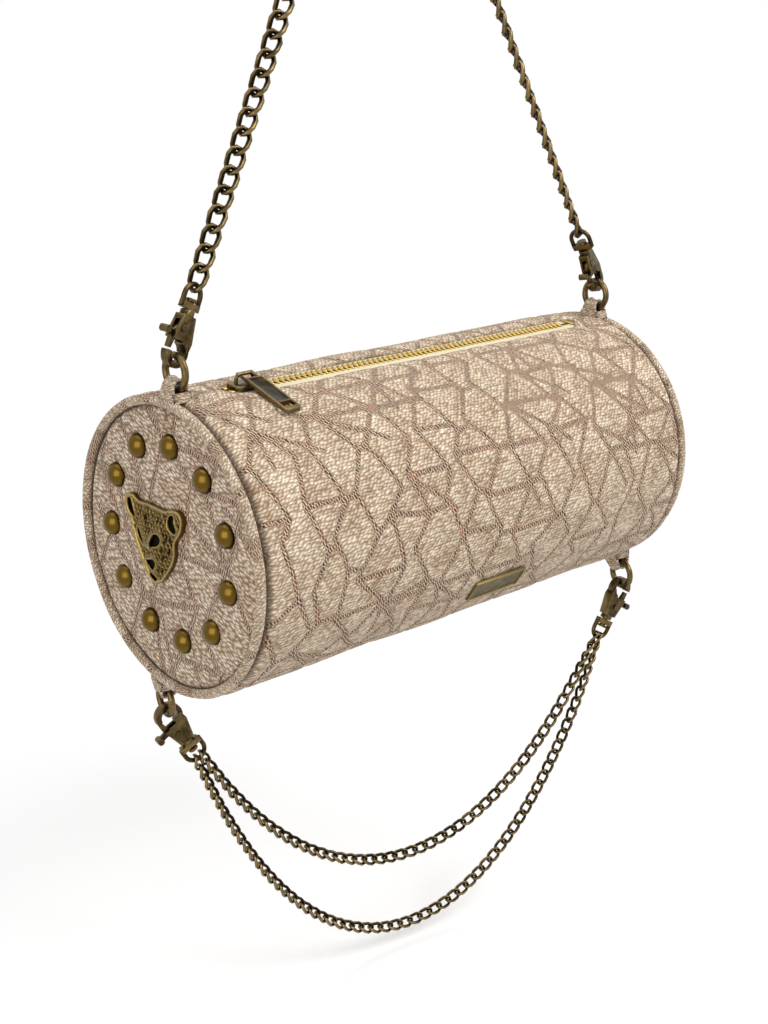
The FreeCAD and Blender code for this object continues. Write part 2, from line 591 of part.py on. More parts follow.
def clasp_hook():
    """Claw, slotted body, collar, neck and rivet head of a clasp, in one piece.

    Local Z runs up the clasp from the claw's end and local Y is the claw's axis."""
    middle = (0, CLAW_RADIUS)
    half = HOOK_WIDTH / 2
    hook = pin_y(CLAW_RADIUS, CLAW_WIDTH / 2, middle)
    hook = hook.fuse(plate_xz(scaled(HOOK_BODY_SHARES, CLASP_SPAN), -half, half))
    hook = hook.cut(pin_y(CLAW_RADIUS - CLAW_WALL, HOOK_WIDTH, middle))
    hook = hook.cut(plate_xz(scaled(HOOK_GATE_SHARES, CLASP_SPAN), -HOOK_WIDTH, HOOK_WIDTH))
    hook = hook.cut(plate_xz(scaled(HOOK_SLOT_SHARES, CLASP_SPAN), -HOOK_SLOT / 2, HOOK_SLOT / 2))
    hook = hook.fuse(post_z(COLLAR_RADIUS, SHOULDER - LET_IN, COLLAR_TOP))
    hook = hook.fuse(post_z(NECK_RADIUS, COLLAR_TOP - LET_IN, HEAD_LOW + LET_IN))
    hook = hook.fuse(post_z(HEAD_RADIUS, HEAD_LOW, HEAD_LOW + HEAD_HEIGHT))
    return hook.cut(pin_y(RIVET_RADIUS + RIVET_FIT, HOOK_WIDTH, LEVER_PIVOT)).removeSplitter()


def clasp_lever():
    half = LEVER_WIDTH / 2
    lever = plate_xz(scaled(LEVER_SHARES, CLASP_SPAN), -half, half)
    lever = lever.fuse(pin_y(THUMB_RADIUS, THUMB_WIDTH / 2, THUMB))
    return lever.cut(pin_y(RIVET_RADIUS + LEVER_FIT, THUMB_WIDTH, LEVER_PIVOT))


def clasp_rivet():
    half = HOOK_WIDTH / 2 + SEAT_GAP
    rivet = pin_y(RIVET_RADIUS, half + RIVET_HEAD_HEIGHT, LEVER_PIVOT)
    heads = pin_y(RIVET_HEAD, half + RIVET_HEAD_HEIGHT, LEVER_PIVOT)
    return rivet.fuse(heads.cut(pin_y(RIVET_HEAD, half, LEVER_PIVOT))).removeSplitter()


def clasp_eye():
    """The eye: a barred base that turns on the neck, and a round wire bow."""
    r, half, depth = EYE_WIRE / 2, EYE_HALF, EYE_BASE_DEPTH / 2
    foot = (EYE_LOW + EYE_HIGH) / 2
    base = box(-half, half, -depth, depth, EYE_LOW, EYE_HIGH)
    bow = Part.Face(Part.Wire(Part.Circle(V(half, 0, BOW_Z), V(0, 0, 1), r).toShape()))
    forms = [bow.revolve(V(0, 0, BOW_Z), V(0, -1, 0), 180)]
    for x in (-half, half):
        forms.append(Part.makeCylinder(r, BOW_Z - foot, V(x, 0, foot), V(0, 0, 1)))
        forms.append(Part.makeSphere(r, V(x, 0, foot)))
    eye = base.fuse(forms)
    return eye.cut(post_z(NECK_RADIUS + NECK_FIT, COLLAR_TOP, HEAD_LOW)).removeSplitter()


def eye_seat(wire):
    """Wire centre of a chain's first link, from the claw's end."""
    return BOW_Z + EYE_HALF - EYE_WIRE / 2 - wire / 2 - LINK_SEAT


def clasp_place(ring_centre, toward, along, claw_axis, gap, turn, flip):
    """Seat a clasp on a ring: along runs from the claw to the eye."""
    wire_at = ring_centre + toward * RING_RADIUS
    x_axis = claw_axis.cross(along) * (-1 if flip else 1)
    place = frame(wire_at - along * (CLAW_SEAT + gap), x_axis, along)
    return place.multiply(spun(V(0, 0, 1), turn))


def spun(axis, turn):
    return FreeCAD.Placement(V(0, 0, 0), FreeCAD.Rotation(axis, turn))


def keep_clasp(name, place, eye_turn):
    keep(name + "_hook", placed(clasp_hook(), place))
    keep(name + "_lever", placed(clasp_lever(), place))
    keep(name + "_rivet", placed(clasp_rivet(), place))
    keep(name + "_eye", placed(clasp_eye(), place.multiply(spun(V(0, 0, 1), eye_turn))))
    turn = place.Rotation
    x, z = LEVER_PIVOT
    pivot(name + "_eye", place.multVec(V(0, 0, EYE_LOW)), turn.multVec(V(0, 0, 1)))
    pivot(name + "_lever", place.multVec(V(x, 0, z)), turn.multVec(V(0, -1, 0)))


def link_solid(length, width, wire):
    """One twisted curb link, flat in XY, made of flat facets."""
    a, b = (length - wire) / 2, (width - wire) / 2
    radius = wire / 2 * LINK_FLAT_SHARE
    centre = []
    for k in range(LINK_STATIONS):
        t = 2 * math.pi * (k + 0.5) / LINK_STATIONS
        c, s = math.cos(t), math.sin(t)
        u = a * math.copysign(abs(c) ** LINK_CORNER_SHARE, c) * LINK_REACH_SHARE
        v = b * math.copysign(abs(s) ** LINK_CORNER_SHARE, s)
        twist = math.radians(LINK_TWIST) * max(-1.0, min(1.0, u / a))
        centre.append(V(u, v * math.cos(twist), v * math.sin(twist)))
    rings = []
    for k in range(LINK_STATIONS):
        tangent = (centre[(k + 1) % LINK_STATIONS] - centre[k - 1]).normalize()
        outward = V(centre[k].x * LINK_LEAN_SHARE, centre[k].y, centre[k].z)
        outward = (outward - tangent * outward.dot(tangent)).normalize()
        side = tangent.cross(outward)
        rings.append([centre[k] + (outward * math.cos(q) + side * math.sin(q)) * radius
                      for q in [2 * math.pi * j / LINK_SIDES for j in range(LINK_SIDES)]])
    faces = []
    for k in range(LINK_STATIONS):
        first, second = rings[k], rings[(k + 1) % LINK_STATIONS]
        for j in range(LINK_SIDES):
            p, q = first[j], first[(j + 1) % LINK_SIDES]
            n, m = second[j], second[(j + 1) % LINK_SIDES]
            for tri in ((p, q, m), (p, m, n)):
                faces.append(Part.Face(Part.makePolygon(list(tri) + [tri[0]])))
    solid = Part.Solid(Part.makeShell(faces))
    if solid.Volume < 0:
        solid.reverse()
    return solid


def walk(points, pitch, first):
    """Points and directions at even steps along a polyline."""
    out, travelled, want = [], 0.0, first
    for p, q in zip(points, points[1:]):
        span = (q - p).Length
        while want <= travelled + span:
            out.append((p + (q - p) * ((want - travelled) / span), (q - p).normalize()))
            want += pitch
        travelled += span
    return out


def route_length(points):
    return sum((q - p).Length for p, q in zip(points, points[1:]))


def chain(points, link, end_roll, facing):
    """Curb links along a route, from wire seat to wire seat.

    The links' roll is even, with end_roll added by steps towards the last."""
    length, width, wire = link
    run = route_length(points) - wire - LINK_SLACK
    count = int(round(run / (length - 2 * wire - LINK_SLACK)))
    pitch = run / count
    solid = link_solid(pitch + 2 * wire + LINK_SLACK, width, wire)
    links = []
    first = (pitch + wire + LINK_SLACK) / 2
    for k, (spot, heading) in enumerate(walk(points, pitch, first)[:count]):
        flat = facing - heading * facing.dot(heading)
        late = max(0.0, (k / (count - 1) - SWAG_TURN_SHARE) / (1 - SWAG_TURN_SHARE))
        turn = spun(V(1, 0, 0), CHAIN_ROLL + end_roll * late)
        links.append(placed(solid, frame(spot, heading, flat).multiply(turn)))
    return Part.makeCompound(links), count, round(pitch, 4)


def strap_lean():
    """Lean of each straight run of the strap from the vertical, in degrees."""
    wire = upper_ring(1)
    rise = STRAP_RISE - STRAP_BIGHT - wire.z - RING_RADIUS
    reach = math.hypot(wire.x, rise)
    return math.degrees(math.atan2(wire.x, rise) - math.asin(STRAP_BIGHT / reach))


def strap_tilt():
    """Turn of the whole strap about the line through the upper rings."""
    turn = FreeCAD.Rotation(V(1, 0, 0), -STRAP_TILT)
    return FreeCAD.Placement(V(0, 0, 0), turn, upper_ring(1))


def build_strap():
    tilt = strap_tilt()
    lean = math.radians(strap_lean())
    ends = {}
    for side, word, eye_turn in ((-1, "left", 0.0), (1, "right", EYE_TURN_RIGHT)):
        along = V(-side * math.sin(lean), 0, math.cos(lean))
        place = clasp_place(upper_ring(side), V(0, 0, 1), along, V(0, 1, 0),
                            CLAW_GAP_UPPER, CLASP_TURN_UPPER, False)
        place = tilt.multiply(place)
        keep_clasp("strap_" + word, place, eye_turn)
        ends[side] = place.multVec(V(0, 0, eye_seat(STRAP_LINK_WIRE)))
    top = STRAP_RISE - STRAP_BIGHT
    half_bend = math.pi / 2 - lean
    turns = [half_bend * (2 * k / BEND_STEPS - 1) for k in range(BEND_STEPS + 1)]
    bend = [V(STRAP_BIGHT * math.sin(a), UPPER_RING_Y, top + STRAP_BIGHT * math.cos(a)) for a in turns]
    route = [ends[-1]] + [tilt.multVec(p) for p in bend] + [ends[1]]
    shape, count, pitch = chain(route, STRAP_LINK, 0.0, tilt.Rotation.multVec(V(0, -1, 0)))
    keep("strap_chain", shape)
    print("strap links", count, pitch, "lean", round(strap_lean(), 3))


def catenary(p, q, drop):
    """A hanging curve between two points, lowest drop below their level."""
    span = (q - p).Length / 2
    low, high = 0.0, 20.0
    for _ in range(80):
        bend = (low + high) / 2
        if (math.cosh(bend) - 1) / bend > drop / span:
            high = bend
        else:
            low = bend
    out = []
    for k in range(CURVE_STEPS + 1):
        s = 2 * k / CURVE_STEPS - 1
        fall = drop - span / bend * (math.cosh(s * bend) - 1)
        out.append(p + (q - p) * ((s + 1) / 2) - V(0, 0, fall))
    return out


def build_swag():
    axis = swag_axis()
    across = V(0, 0, 1).cross(axis).normalize()
    lean = math.radians(CLASP_LEAN_LOWER)
    ends = {}
    for side, word in ((-1, "left"), (1, "right")):
        along = (axis * (-side * math.sin(lean)) - V(0, 0, 1) * math.cos(lean)).normalize()
        place = clasp_place(lower_ring(side), V(0, 0, -1), along, across, CLAW_GAP_LOWER, 0.0, side < 0)
        keep_clasp("swag_" + word, place, 0.0)
        seat = eye_seat(SWAG_LINK_WIRE) - SWAG_DIP
        ends[side] = [place.multVec(V(x, 0, seat)) for x in (-SWAG_PART, SWAG_PART)]
    inner_left, outer_left = sorted(ends[-1], key=lambda p: -p.dot(axis))
    inner_right, outer_right = sorted(ends[1], key=lambda p: p.dot(axis))
    for name, p, q, drop in (("upper_swag_chain", inner_left, inner_right, UPPER_SWAG_DROP),
                             ("lower_swag_chain", outer_left, outer_right, LOWER_SWAG_DROP)):
        shape, count, pitch = chain(catenary(p, q, drop), SWAG_LINK, SWAG_END_ROLL, -across)
        keep(name, shape)
        print(name, "links", count, pitch)


build_barrel()
build_studs()
build_ornament()
build_plate()
build_zip()
build_slider()
build_tag()
build_tabs()
build_strap()
build_swag()

os.makedirs("parts", exist_ok=True)
for name, shape in OUT.items():
    shape.exportStep("parts/%s.step" % name)
    print(name, shape.isValid(), len(shape.Solids), round(shape.Volume, 1))
for name, (point, axis) in PIVOTS.items():
    print("pivot", name, point, axis)
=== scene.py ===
"""Barrel bag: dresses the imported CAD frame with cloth, chain and antique brass for one studio picture."""

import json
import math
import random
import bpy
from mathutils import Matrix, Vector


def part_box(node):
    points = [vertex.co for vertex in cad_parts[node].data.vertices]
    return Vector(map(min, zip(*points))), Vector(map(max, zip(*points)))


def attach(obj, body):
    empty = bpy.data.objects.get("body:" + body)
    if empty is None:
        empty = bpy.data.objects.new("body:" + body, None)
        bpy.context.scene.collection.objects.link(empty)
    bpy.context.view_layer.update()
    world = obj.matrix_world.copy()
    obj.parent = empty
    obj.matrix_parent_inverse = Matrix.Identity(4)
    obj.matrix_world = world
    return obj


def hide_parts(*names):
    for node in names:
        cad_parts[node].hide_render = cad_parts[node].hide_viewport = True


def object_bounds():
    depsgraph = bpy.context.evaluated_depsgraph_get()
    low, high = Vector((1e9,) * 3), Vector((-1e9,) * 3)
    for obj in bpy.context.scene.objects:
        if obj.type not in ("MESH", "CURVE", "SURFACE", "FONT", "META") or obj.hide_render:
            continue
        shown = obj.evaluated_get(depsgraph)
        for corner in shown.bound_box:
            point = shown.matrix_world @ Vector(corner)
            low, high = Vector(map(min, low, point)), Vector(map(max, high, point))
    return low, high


bl_info = {
    "name": "Barrel bag",
    "version": (1, 0, 0),
    "blender": (4, 5, 0),
    "location": "View3D > Sidebar > Barrel bag",
    "description": "Models the finished pieces of a woven barrel bag over its CAD frame",
    "category": "Object",
}

import bpy
import numpy as np
from mathutils import Matrix, Vector

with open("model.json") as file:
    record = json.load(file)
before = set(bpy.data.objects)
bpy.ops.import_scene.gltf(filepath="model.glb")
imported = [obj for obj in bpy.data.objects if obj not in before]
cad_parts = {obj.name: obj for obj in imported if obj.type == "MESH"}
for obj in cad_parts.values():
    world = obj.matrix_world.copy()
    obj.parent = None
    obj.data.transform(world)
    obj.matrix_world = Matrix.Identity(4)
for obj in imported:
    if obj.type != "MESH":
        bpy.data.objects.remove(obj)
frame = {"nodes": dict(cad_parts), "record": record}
CAD_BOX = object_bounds()

MM = 0.001
UV_UNIT = 0.1                 # cloth coordinates count in lengths of 100 mm
GRAINS = 56.0                 # grains of yarn in 100 mm of a row: one is about 1.8 mm long
ROWS = 84.0                   # rows of grains in 100 mm: one is about 1.2 mm high
SWAY = 24.0                   # bends of the rows in 100 mm: one is about 4 mm long
FIBRE = 420.0                 # fibres in 100 mm: one is about 0.24 mm wide
BLOTCH = 9.0                  # patches of tone in 100 mm: one is about 11 mm wide
STITCH_UNIT = 0.0275          # unit of the stitches' own pattern, in cloth coordinates
STITCH_WIDTH = 0.0116         # a stitch is 1.16 mm wide
STITCH_LENGTH = 0.0190        # and 1.9 mm long
STITCH_DRAW = 0.28            # stitches are drawn out by this, which thins the breaks at their ends
STITCH_LEAN = math.radians(-26.0)
PATINA = 260.0                # clouds of patina in 1 m: one is about 4 mm wide
SOOT = 500.0                  # clouds of black in 1 m: one is about 2 mm wide
STRAP_PITCH = 6.96 * MM       # spacing of the strap's links
SWAG_PITCH = 5.15 * MM        # spacing of the swags' links
LINK_TWIST = 45.0             # degrees that each end of a link is turned from its middle
ROLL_START = 0.85             # share of a swag after which its links roll towards the last eye
SWAG_ASIDE = 1.2 * MM         # a swag's first link beside the middle of its eye
SWAG_DROPS = {"upper": 77.0 * MM, "lower": 110.0 * MM}  # lowest point below the ends
TAPE_WIDTH = 11.0 * MM
TAPE_CLOTH = 0.6 * MM
SIDES = ((-1, "left"), (1, "right"))

# Places read from the frame
PIPE_LOW, PIPE_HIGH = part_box("left_piping")
FAR_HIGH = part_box("right_piping")[1]
PANEL_LOW, PANEL_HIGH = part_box("body_panel")
CAP_LOW, CAP_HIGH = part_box("left_end_panel")
AXIS_Y = (PIPE_LOW.y + PIPE_HIGH.y) / 2
AXIS_Z = (PIPE_LOW.z + PIPE_HIGH.z) / 2
BARREL_RADIUS = (PANEL_HIGH.y - PANEL_LOW.y) / 2
PANEL_X = PANEL_HIGH.x
END_X = FAR_HIGH.x
PIPE_WIRE = PIPE_HIGH.x - PIPE_LOW.x
PIPE_RADIUS = (PIPE_HIGH.z - PIPE_LOW.z - PIPE_WIRE) / 2
CAP_RADIUS = (CAP_HIGH.z - CAP_LOW.z) / 2
CAP_FACE = -CAP_LOW.x


def pivot(joint):
    """Where a joint's axis stands at rest."""
    found = [j for j in frame["record"]["behaviour"]["joints"] if j["name"] == joint]
    return Vector(found[0]["pos_m"]), Vector(found[0]["axis"])


def length(name, description, value):
    """A property that holds a length, with its default in mm."""
    return bpy.props.FloatProperty(name=name, description=description, default=value * MM, unit="LENGTH")


def colour(name, description, value):
    """A property that holds a colour as sRGB hex."""
    return bpy.props.StringProperty(name=name, description=description + ", sRGB hex", default=value)


class BagSizes(bpy.types.PropertyGroup):
    """Sizes of the bag's cloth, chains and metal"""
    cloth: length("Cloth", "Thickness of the woven cloth", 1.6)
    cloth_step: length("Cloth step", "Spacing of the cloth's mesh", 1.3)
    line_half: length("Line half width", "Half width of a woven brown line", 1.2)
    column: length("Pattern column", "Spacing of the zigzag columns", 12.5)
    slot_half: length("Slot half width", "Half width of the zip's opening", 5.3)
    slot_reach: length("Slot half length", "Half length of the zip's opening", 95.0)
    slot_turn: bpy.props.FloatProperty(name="Zip turn", description="Zip ahead of the top of the barrel",
                                       default=math.radians(4.5), subtype="ANGLE")
    lip_dip: length("Lip dip", "How far the cloth's lip sinks to the zip", 1.7)
    piping: length("Piping", "Across the rolled edge of each end", 3.5)
    tab_half: length("Tab half width", "Half width of a tab where it folds over its ring", 3.3)
    tab_foot: length("Tab foot", "Half width of a tab at the barrel", 5.5)
    tab_cloth: length("Tab cloth", "Thickness of a tab's cloth", 1.0)
    bevel: length("Metal edge", "Rounding of the cast metal's edges", 0.22)
    strap_width: length("Strap link width", "Across one strap link", 7.4)
    strap_wire: length("Strap wire", "Wire of the strap's links", 1.9)
    swag_width: length("Swag link width", "Across one swag link", 5.2)
    swag_wire: length("Swag wire", "Wire of the swags' links", 1.4)
    swag_end_wire: length("Swag end wire", "Wire of the links in the clasps' eyes", 1.22)
    link_slack: length("Link slack", "Play between neighbouring links", 0.25)
    eye_seat: length("Eye seat", "First link's end above the swivel", 6.5)


class BagColours(bpy.types.PropertyGroup):
    """Colours of the bag's yarns and metals"""
    cream: colour("Cream yarn", "Palest yarn", "#F1E0C9")
    tan: colour("Tan yarn", "Darkest ground yarn", "#AF9476")
    brown: colour("Line yarn", "Brown stitching", "#4C2B10")
    russet: colour("Russet yarn", "Red stitching", "#975D34")
    pink: colour("End yarn", "Pinker yarn of the ends", "#B69478")
    # Painted shade for the seams by the piping and along the zip's lips
    crease: colour("Seam shade", "Dark of sunken seams", "#4B3A2C")
    tape: colour("Zip tape", "Cream zip tape", "#DCCFAE")
    lining: colour("Lining", "Lining cloth", "#C9B79E")
    patina: colour("Patina", "Dark brass", "#221A0D")
    rubbed: colour("Rubbed brass", "Brass on worn edges", "#86714A")
    stud: colour("Stud brass", "Warm brass of the studs", "#644E1E")
    web: colour("Ornament web", "Brass between the spots", "#6C5830")
    rim: colour("Ornament rim", "Rubbed rim of the ornament", "#9C8650")
    plate: colour("Plate brass", "Olive brass of the plate", "#7E6F45")
    gold: colour("Tooth gold", "Bright zip teeth", "#BE9F4C")
    enamel: colour("Recess", "Black in the ornament's hollows", "#0E0B07")


def sizes():
    """The scene's sizes."""
    return bpy.context.scene.bag_sizes


def colours():
    """The scene's colours."""
    return bpy.context.scene.bag_colours


# Materials


def linear(text):
    """Linear colour of an sRGB hex value."""
    parts = [int(text[k:k + 2], 16) / 255 for k in (1, 3, 5)]
    return [c / 12.92 if c <= 0.04045 else ((c + 0.055) / 1.055) ** 2.4 for c in parts] + [1.0]


def add(tree, kind, inputs=None, **settings):
    """A shader node with its settings; each input is a value or a (node, socket) link."""
    new = tree.nodes.new("ShaderNode" + kind)
    for key, value in settings.items():
        setattr(new, key, value)
    for key, value in (inputs or {}).items():
        if isinstance(value, tuple) and isinstance(value[0], bpy.types.Node):
            tree.links.new(value[0].outputs[value[1]], new.inputs[key])
        else:
            new.inputs[key].default_value = value
    return new


def material(name, values):
    """A new material, its node tree and its shader with these values on its sockets."""
    made = bpy.data.materials.new(name)
    made.use_nodes = True
    shader = made.node_tree.nodes["Principled BSDF"]
    for key, value in values.items():
        shader.inputs[key].default_value = value
    return made, made.node_tree, shader


def link(tree, node, socket, shader, name):
    """Joins a node's output to a named socket."""
    tree.links.new(node.outputs[socket], shader.inputs[name])


def woven_cloth(name, pale, dark, line_share, rows_share=1.0, gap_shade=0.45, loose=0.5):
    """Chunky tweed: plump grains of yarn in rows, crossed by sunken lines of brown and russet stitches."""
    # Loose yarn scatters light, so the eye sees no gloss, only soft shade between the grains, which is painted
    # into the colour here.
    made, tree, shader = material(name, {"Roughness": 0.88, "IOR": 1.45, "Specular IOR Level": 0.25,
                                         "Sheen Weight": 0.10, "Sheen Roughness": 0.5})
    c = colours()
    uv = add(tree, "UVMap", uv_map="cloth")
    sway = add(tree, "TexNoise", {"Vector": (uv, "UV"), "Scale": SWAY, "Detail": 1.0})
    bend = add(tree, "VectorMath", {0: (sway, "Color"), 1: (0.5, 0.5, 0.5)}, operation="SUBTRACT")
    bent = add(tree, "VectorMath", {0: (bend, 0), 1: (0.016, 0.016, 0.0), 2: (uv, "UV")},
               operation="MULTIPLY_ADD")
    # Each row of grains is set half a grain along from the one below.
    step = add(tree, "VectorMath", {0: (bent, 0), 1: (GRAINS * rows_share, ROWS / 2 * rows_share, 0.0)},
               operation="DOT_PRODUCT")
    row = add(tree, "VectorMath", {0: (bent, 0), 1: (0.0, ROWS * rows_share, 0.0)}, operation="DOT_PRODUCT")
    rows = add(tree, "CombineXYZ", {0: (step, 1), 1: (row, 1)})
    grains = add(tree, "TexVoronoi", {"Vector": (rows, 0), "Scale": 1.0, "Randomness": loose},
                 voronoi_dimensions="2D", feature="F1")
    plump = add(tree, "MapRange", {"Value": (grains, "Distance"), 1: 0.14, 2: 0.66, 3: 1.0, 4: 0.0},
                interpolation_type="SMOOTHSTEP")
    fibre = add(tree, "TexNoise", {"Vector": (uv, "UV"), "Scale": FIBRE, "Detail": 3.0, "Roughness": 0.7})
    blotch = add(tree, "TexNoise", {"Vector": (uv, "UV"), "Scale": BLOTCH, "Detail": 3.0, "Roughness": 0.55})
    grain_pick = add(tree, "SeparateColor", {0: (grains, "Color")})
    tone = add(tree, "Math", {0: (grain_pick, 0), 1: 0.45, 2: (blotch, 0)}, operation="MULTIPLY_ADD")
    shade = add(tree, "MapRange", {"Value": (tone, 0), 1: 0.36, 2: 1.00, 3: 0.0, 4: 1.0})
    ground = add(tree, "Mix", {"Factor": (shade, 0), 6: linear(dark), 7: linear(pale)}, data_type="RGBA")
    # Painted shade darkens the gaps between the grains and a faint painted highlight lifts their tops, which
    # draws the rows.
    gap = add(tree, "Mix", {"Factor": (plump, 0), 6: (1.08 * gap_shade, 0.96 * gap_shade, 0.84 * gap_shade, 1.0),
                            7: (1.06, 1.05, 1.04, 1.0)}, data_type="RGBA")
    shaded = add(tree, "Mix", {"Factor": 1.0, 6: (ground, 2), 7: (gap, 2)}, data_type="RGBA",
                 blend_type="MULTIPLY")
    # A line is a bed of short leaning stitches, brown or russet, with the ground showing between them.
    leaned = add(tree, "Mapping", {"Vector": (bent, 0), "Rotation": (0.0, 0.0, STITCH_LEAN),
                                   "Scale": (1.0, STITCH_DRAW, 1.0)}, vector_type="TEXTURE")
    between = [0.72 * a + 0.28 * b for a, b in zip(linear(pale), linear(dark))]
    stitches = add(tree, "TexBrick", {
        "Vector": (leaned, 0), "Scale": 1 / STITCH_UNIT, "Color1": linear(c.brown), "Color2": linear(c.russet),
        "Mortar": between, "Mortar Size": 0.080, "Mortar Smooth": 0.35, "Bias": -0.15,
        "Brick Width": STITCH_WIDTH / STITCH_UNIT,
        "Row Height": STITCH_LENGTH / STITCH_DRAW / STITCH_UNIT})
    full = add(tree, "MapRange", {"Value": (stitches, "Fac"), 3: 1.0, 4: 0.0})
    # Painted shade: the stitches darken where they lie between the grains.
    hollow = add(tree, "MapRange", {"Value": (plump, 0), 3: 0.72, 4: 1.05})
    stitched = add(tree, "Mix", {"Factor": 1.0, 6: (stitches, "Color"), 7: (hollow, 0)}, data_type="RGBA",
                   blend_type="MULTIPLY")
    line = add(tree, "Attribute", attribute_name="line")
    ragged = add(tree, "Math", {0: (fibre, 0), 1: 0.9, 2: (line, "Fac")}, operation="MULTIPLY_ADD")
    band = add(tree, "MapRange", {"Value": (ragged, 0), 1: 0.50, 2: 0.80})
    weight = add(tree, "Math", {0: (band, 0), 1: line_share}, operation="MULTIPLY")
    drawn = add(tree, "Mix", {"Factor": (weight, 0), 6: (shaded, 2), 7: (stitched, 2)}, data_type="RGBA")
    # Painted shade in the sunken seams and along the zip's lips, in the seam shade colour.
    crease = add(tree, "Attribute", attribute_name="crease")
    crease_shaded = add(tree, "Mix", {"Factor": (crease, "Fac"), 6: (drawn, 2), 7: linear(c.crease)},
                  data_type="RGBA")
    # In relief, grains stand up, stitches lie lower and the fibres roughen both.
    sunk = add(tree, "Math", {0: (full, 0), 1: 0.45, 2: -0.5}, operation="MULTIPLY_ADD")
    relief = add(tree, "Mix", {"Factor": (band, 0), 2: (plump, 0), 3: (sunk, 0)})
    height = add(tree, "Math", {0: (fibre, 0), 1: 0.3, 2: (relief, 0)}, operation="MULTIPLY_ADD")
    bump = add(tree, "Bump", {"Height": (height, 0), "Strength": 0.9, "Distance": 0.6 * MM})
    link(tree, crease_shaded, 2, shader, "Base Color")
    link(tree, bump, 0, shader, "Normal")
    return made


def plain_cloth(name, hex_colour, thread):
    """Fine flat weave, for the zip tape and the lining."""
    # Even and matt. The real threads are finer, and are drawn this coarse to show.
    made, tree, shader = material(name, {"Roughness": 0.85, "IOR": 1.45})
    place = add(tree, "TexCoord")
    threads = add(tree, "Mapping", {"Vector": (place, "Object"), "Scale": (1 / thread,) * 3})
    cells = add(tree, "TexVoronoi", {"Vector": (threads, 0), "Scale": 1.0, "Randomness": 0.3})
    tone = add(tree, "MapRange", {"Value": (cells, "Distance"), 3: 1.0, 4: 0.72})
    tinted = add(tree, "Mix", {"Factor": 1.0, 6: linear(hex_colour), 7: (tone, 0)}, data_type="RGBA",
                 blend_type="MULTIPLY")
    bump = add(tree, "Bump", {"Height": (tone, 0), "Strength": 0.5, "Distance": 0.15 * MM})
    link(tree, tinted, 2, shader, "Base Color")
    link(tree, bump, 0, shader, "Normal")
    return made


def brass(name, dark, bright, rough, wear_low=0.35, wear_high=0.75):
    """Brass with a brown patina in the hollows and rubbed bright edges."""
    # Cast or drawn, tumbled and darkened: broad soft highlights on the rubbed edges, dull brown elsewhere.
    made, tree, shader = material(name, {"Metallic": 1.0})
    place = add(tree, "TexCoord")
    cloud = add(tree, "TexNoise", {"Vector": (place, "Object"), "Scale": PATINA, "Detail": 4.0,
                                   "Roughness": 0.65})
    # On most pieces these values are real wear and patina; on the studs they carry painted light, lighter on
    # top and darker at the rim.
    wear = add(tree, "Attribute", attribute_name="wear")
    mixed = add(tree, "Math", {0: (cloud, 0), 1: 0.55, 2: (wear, "Fac")}, operation="MULTIPLY_ADD")
    rub = add(tree, "MapRange", {"Value": (mixed, 0), 1: wear_low, 2: wear_high + 0.35},
              interpolation_type="SMOOTHSTEP")
    tint = add(tree, "Mix", {"Factor": (rub, 0), 6: linear(dark), 7: linear(bright)}, data_type="RGBA")
    hollow = add(tree, "Attribute", attribute_name="hollow")
    inked = add(tree, "Mix", {"Factor": (hollow, "Fac"), 6: (tint, 2), 7: linear(colours().enamel)},
                data_type="RGBA")
    matt = add(tree, "MapRange", {"Value": (cloud, 0), 1: 0.3, 2: 0.7, 3: rough + 0.08, 4: rough - 0.06})
    bump = add(tree, "Bump", {"Height": (cloud, 0), "Strength": 0.12, "Distance": 0.1 * MM})
    link(tree, inked, 2, shader, "Base Color")
    link(tree, matt, 0, shader, "Roughness")
    link(tree, bump, 0, shader, "Normal")
    return made


def enamel(name, hex_colour):
    """Near-black patina in deep hollows."""
    # Hardly any gloss, and an uneven black.
    made, tree, shader = material(name, {"Roughness": 0.8, "IOR": 1.5, "Specular IOR Level": 0.12})
    place = add(tree, "TexCoord")
    cloud = add(tree, "TexNoise", {"Vector": (place, "Object"), "Scale": SOOT, "Detail": 3.0})
    tone = add(tree, "MapRange", {"Value": (cloud, 0), 3: 0.6, 4: 1.6})
    tint = add(tree, "Mix", {"Factor": 1.0, 6: linear(hex_colour), 7: (tone, 0)}, data_type="RGBA",
               blend_type="MULTIPLY")
    link(tree, tint, 2, shader, "Base Color")
    return made


MATERIALS = {}


def finish_of(name):
    """The named material, made on first use."""
    c = colours()
    makers = {
        # Cloth: the ends are pinker and looser, with darker painted shade in the gaps, and the edging has finer
        # rows
        "tweed": lambda: woven_cloth("woven tweed", c.cream, c.tan, 0.94),
        "end_tweed": lambda: woven_cloth("woven tweed, ends", c.cream, c.pink, 0.88, 0.92, 0.34, 0.75),
        "edge_tweed": lambda: woven_cloth("woven tweed, edging", c.cream, c.tan, 0.8, 1.1),
        "tape": lambda: plain_cloth("zip tape", c.tape, 0.5 * MM),
        "lining": lambda: plain_cloth("lining cloth", c.lining, 0.6 * MM),
        # Brass: the castings keep more patina on their flats, the studs are smooth and warm, the teeth bright
        "antique": lambda: brass("antique brass", c.patina, c.rubbed, 0.33, 0.50, 0.78),
        "cast": lambda: brass("antique brass, cast", c.patina, c.rubbed, 0.31, 0.62, 0.90),
        "worn": lambda: brass("worn brass", c.web, c.rim, 0.30, 0.45, 0.85),
        "plate": lambda: brass("plate brass", c.patina, c.plate, 0.46, 0.20, 0.62),
        "stud": lambda: brass("stud brass", c.patina, c.stud, 0.24, 0.15, 0.60),
        "gold": lambda: brass("tooth brass", c.stud, c.gold, 0.26, 0.0, 0.3),
        "enamel": lambda: enamel("blackened brass", c.enamel),
    }
    if name not in MATERIALS:
        MATERIALS[name] = makers[name]()
    return MATERIALS[name]


# Modelling helpers


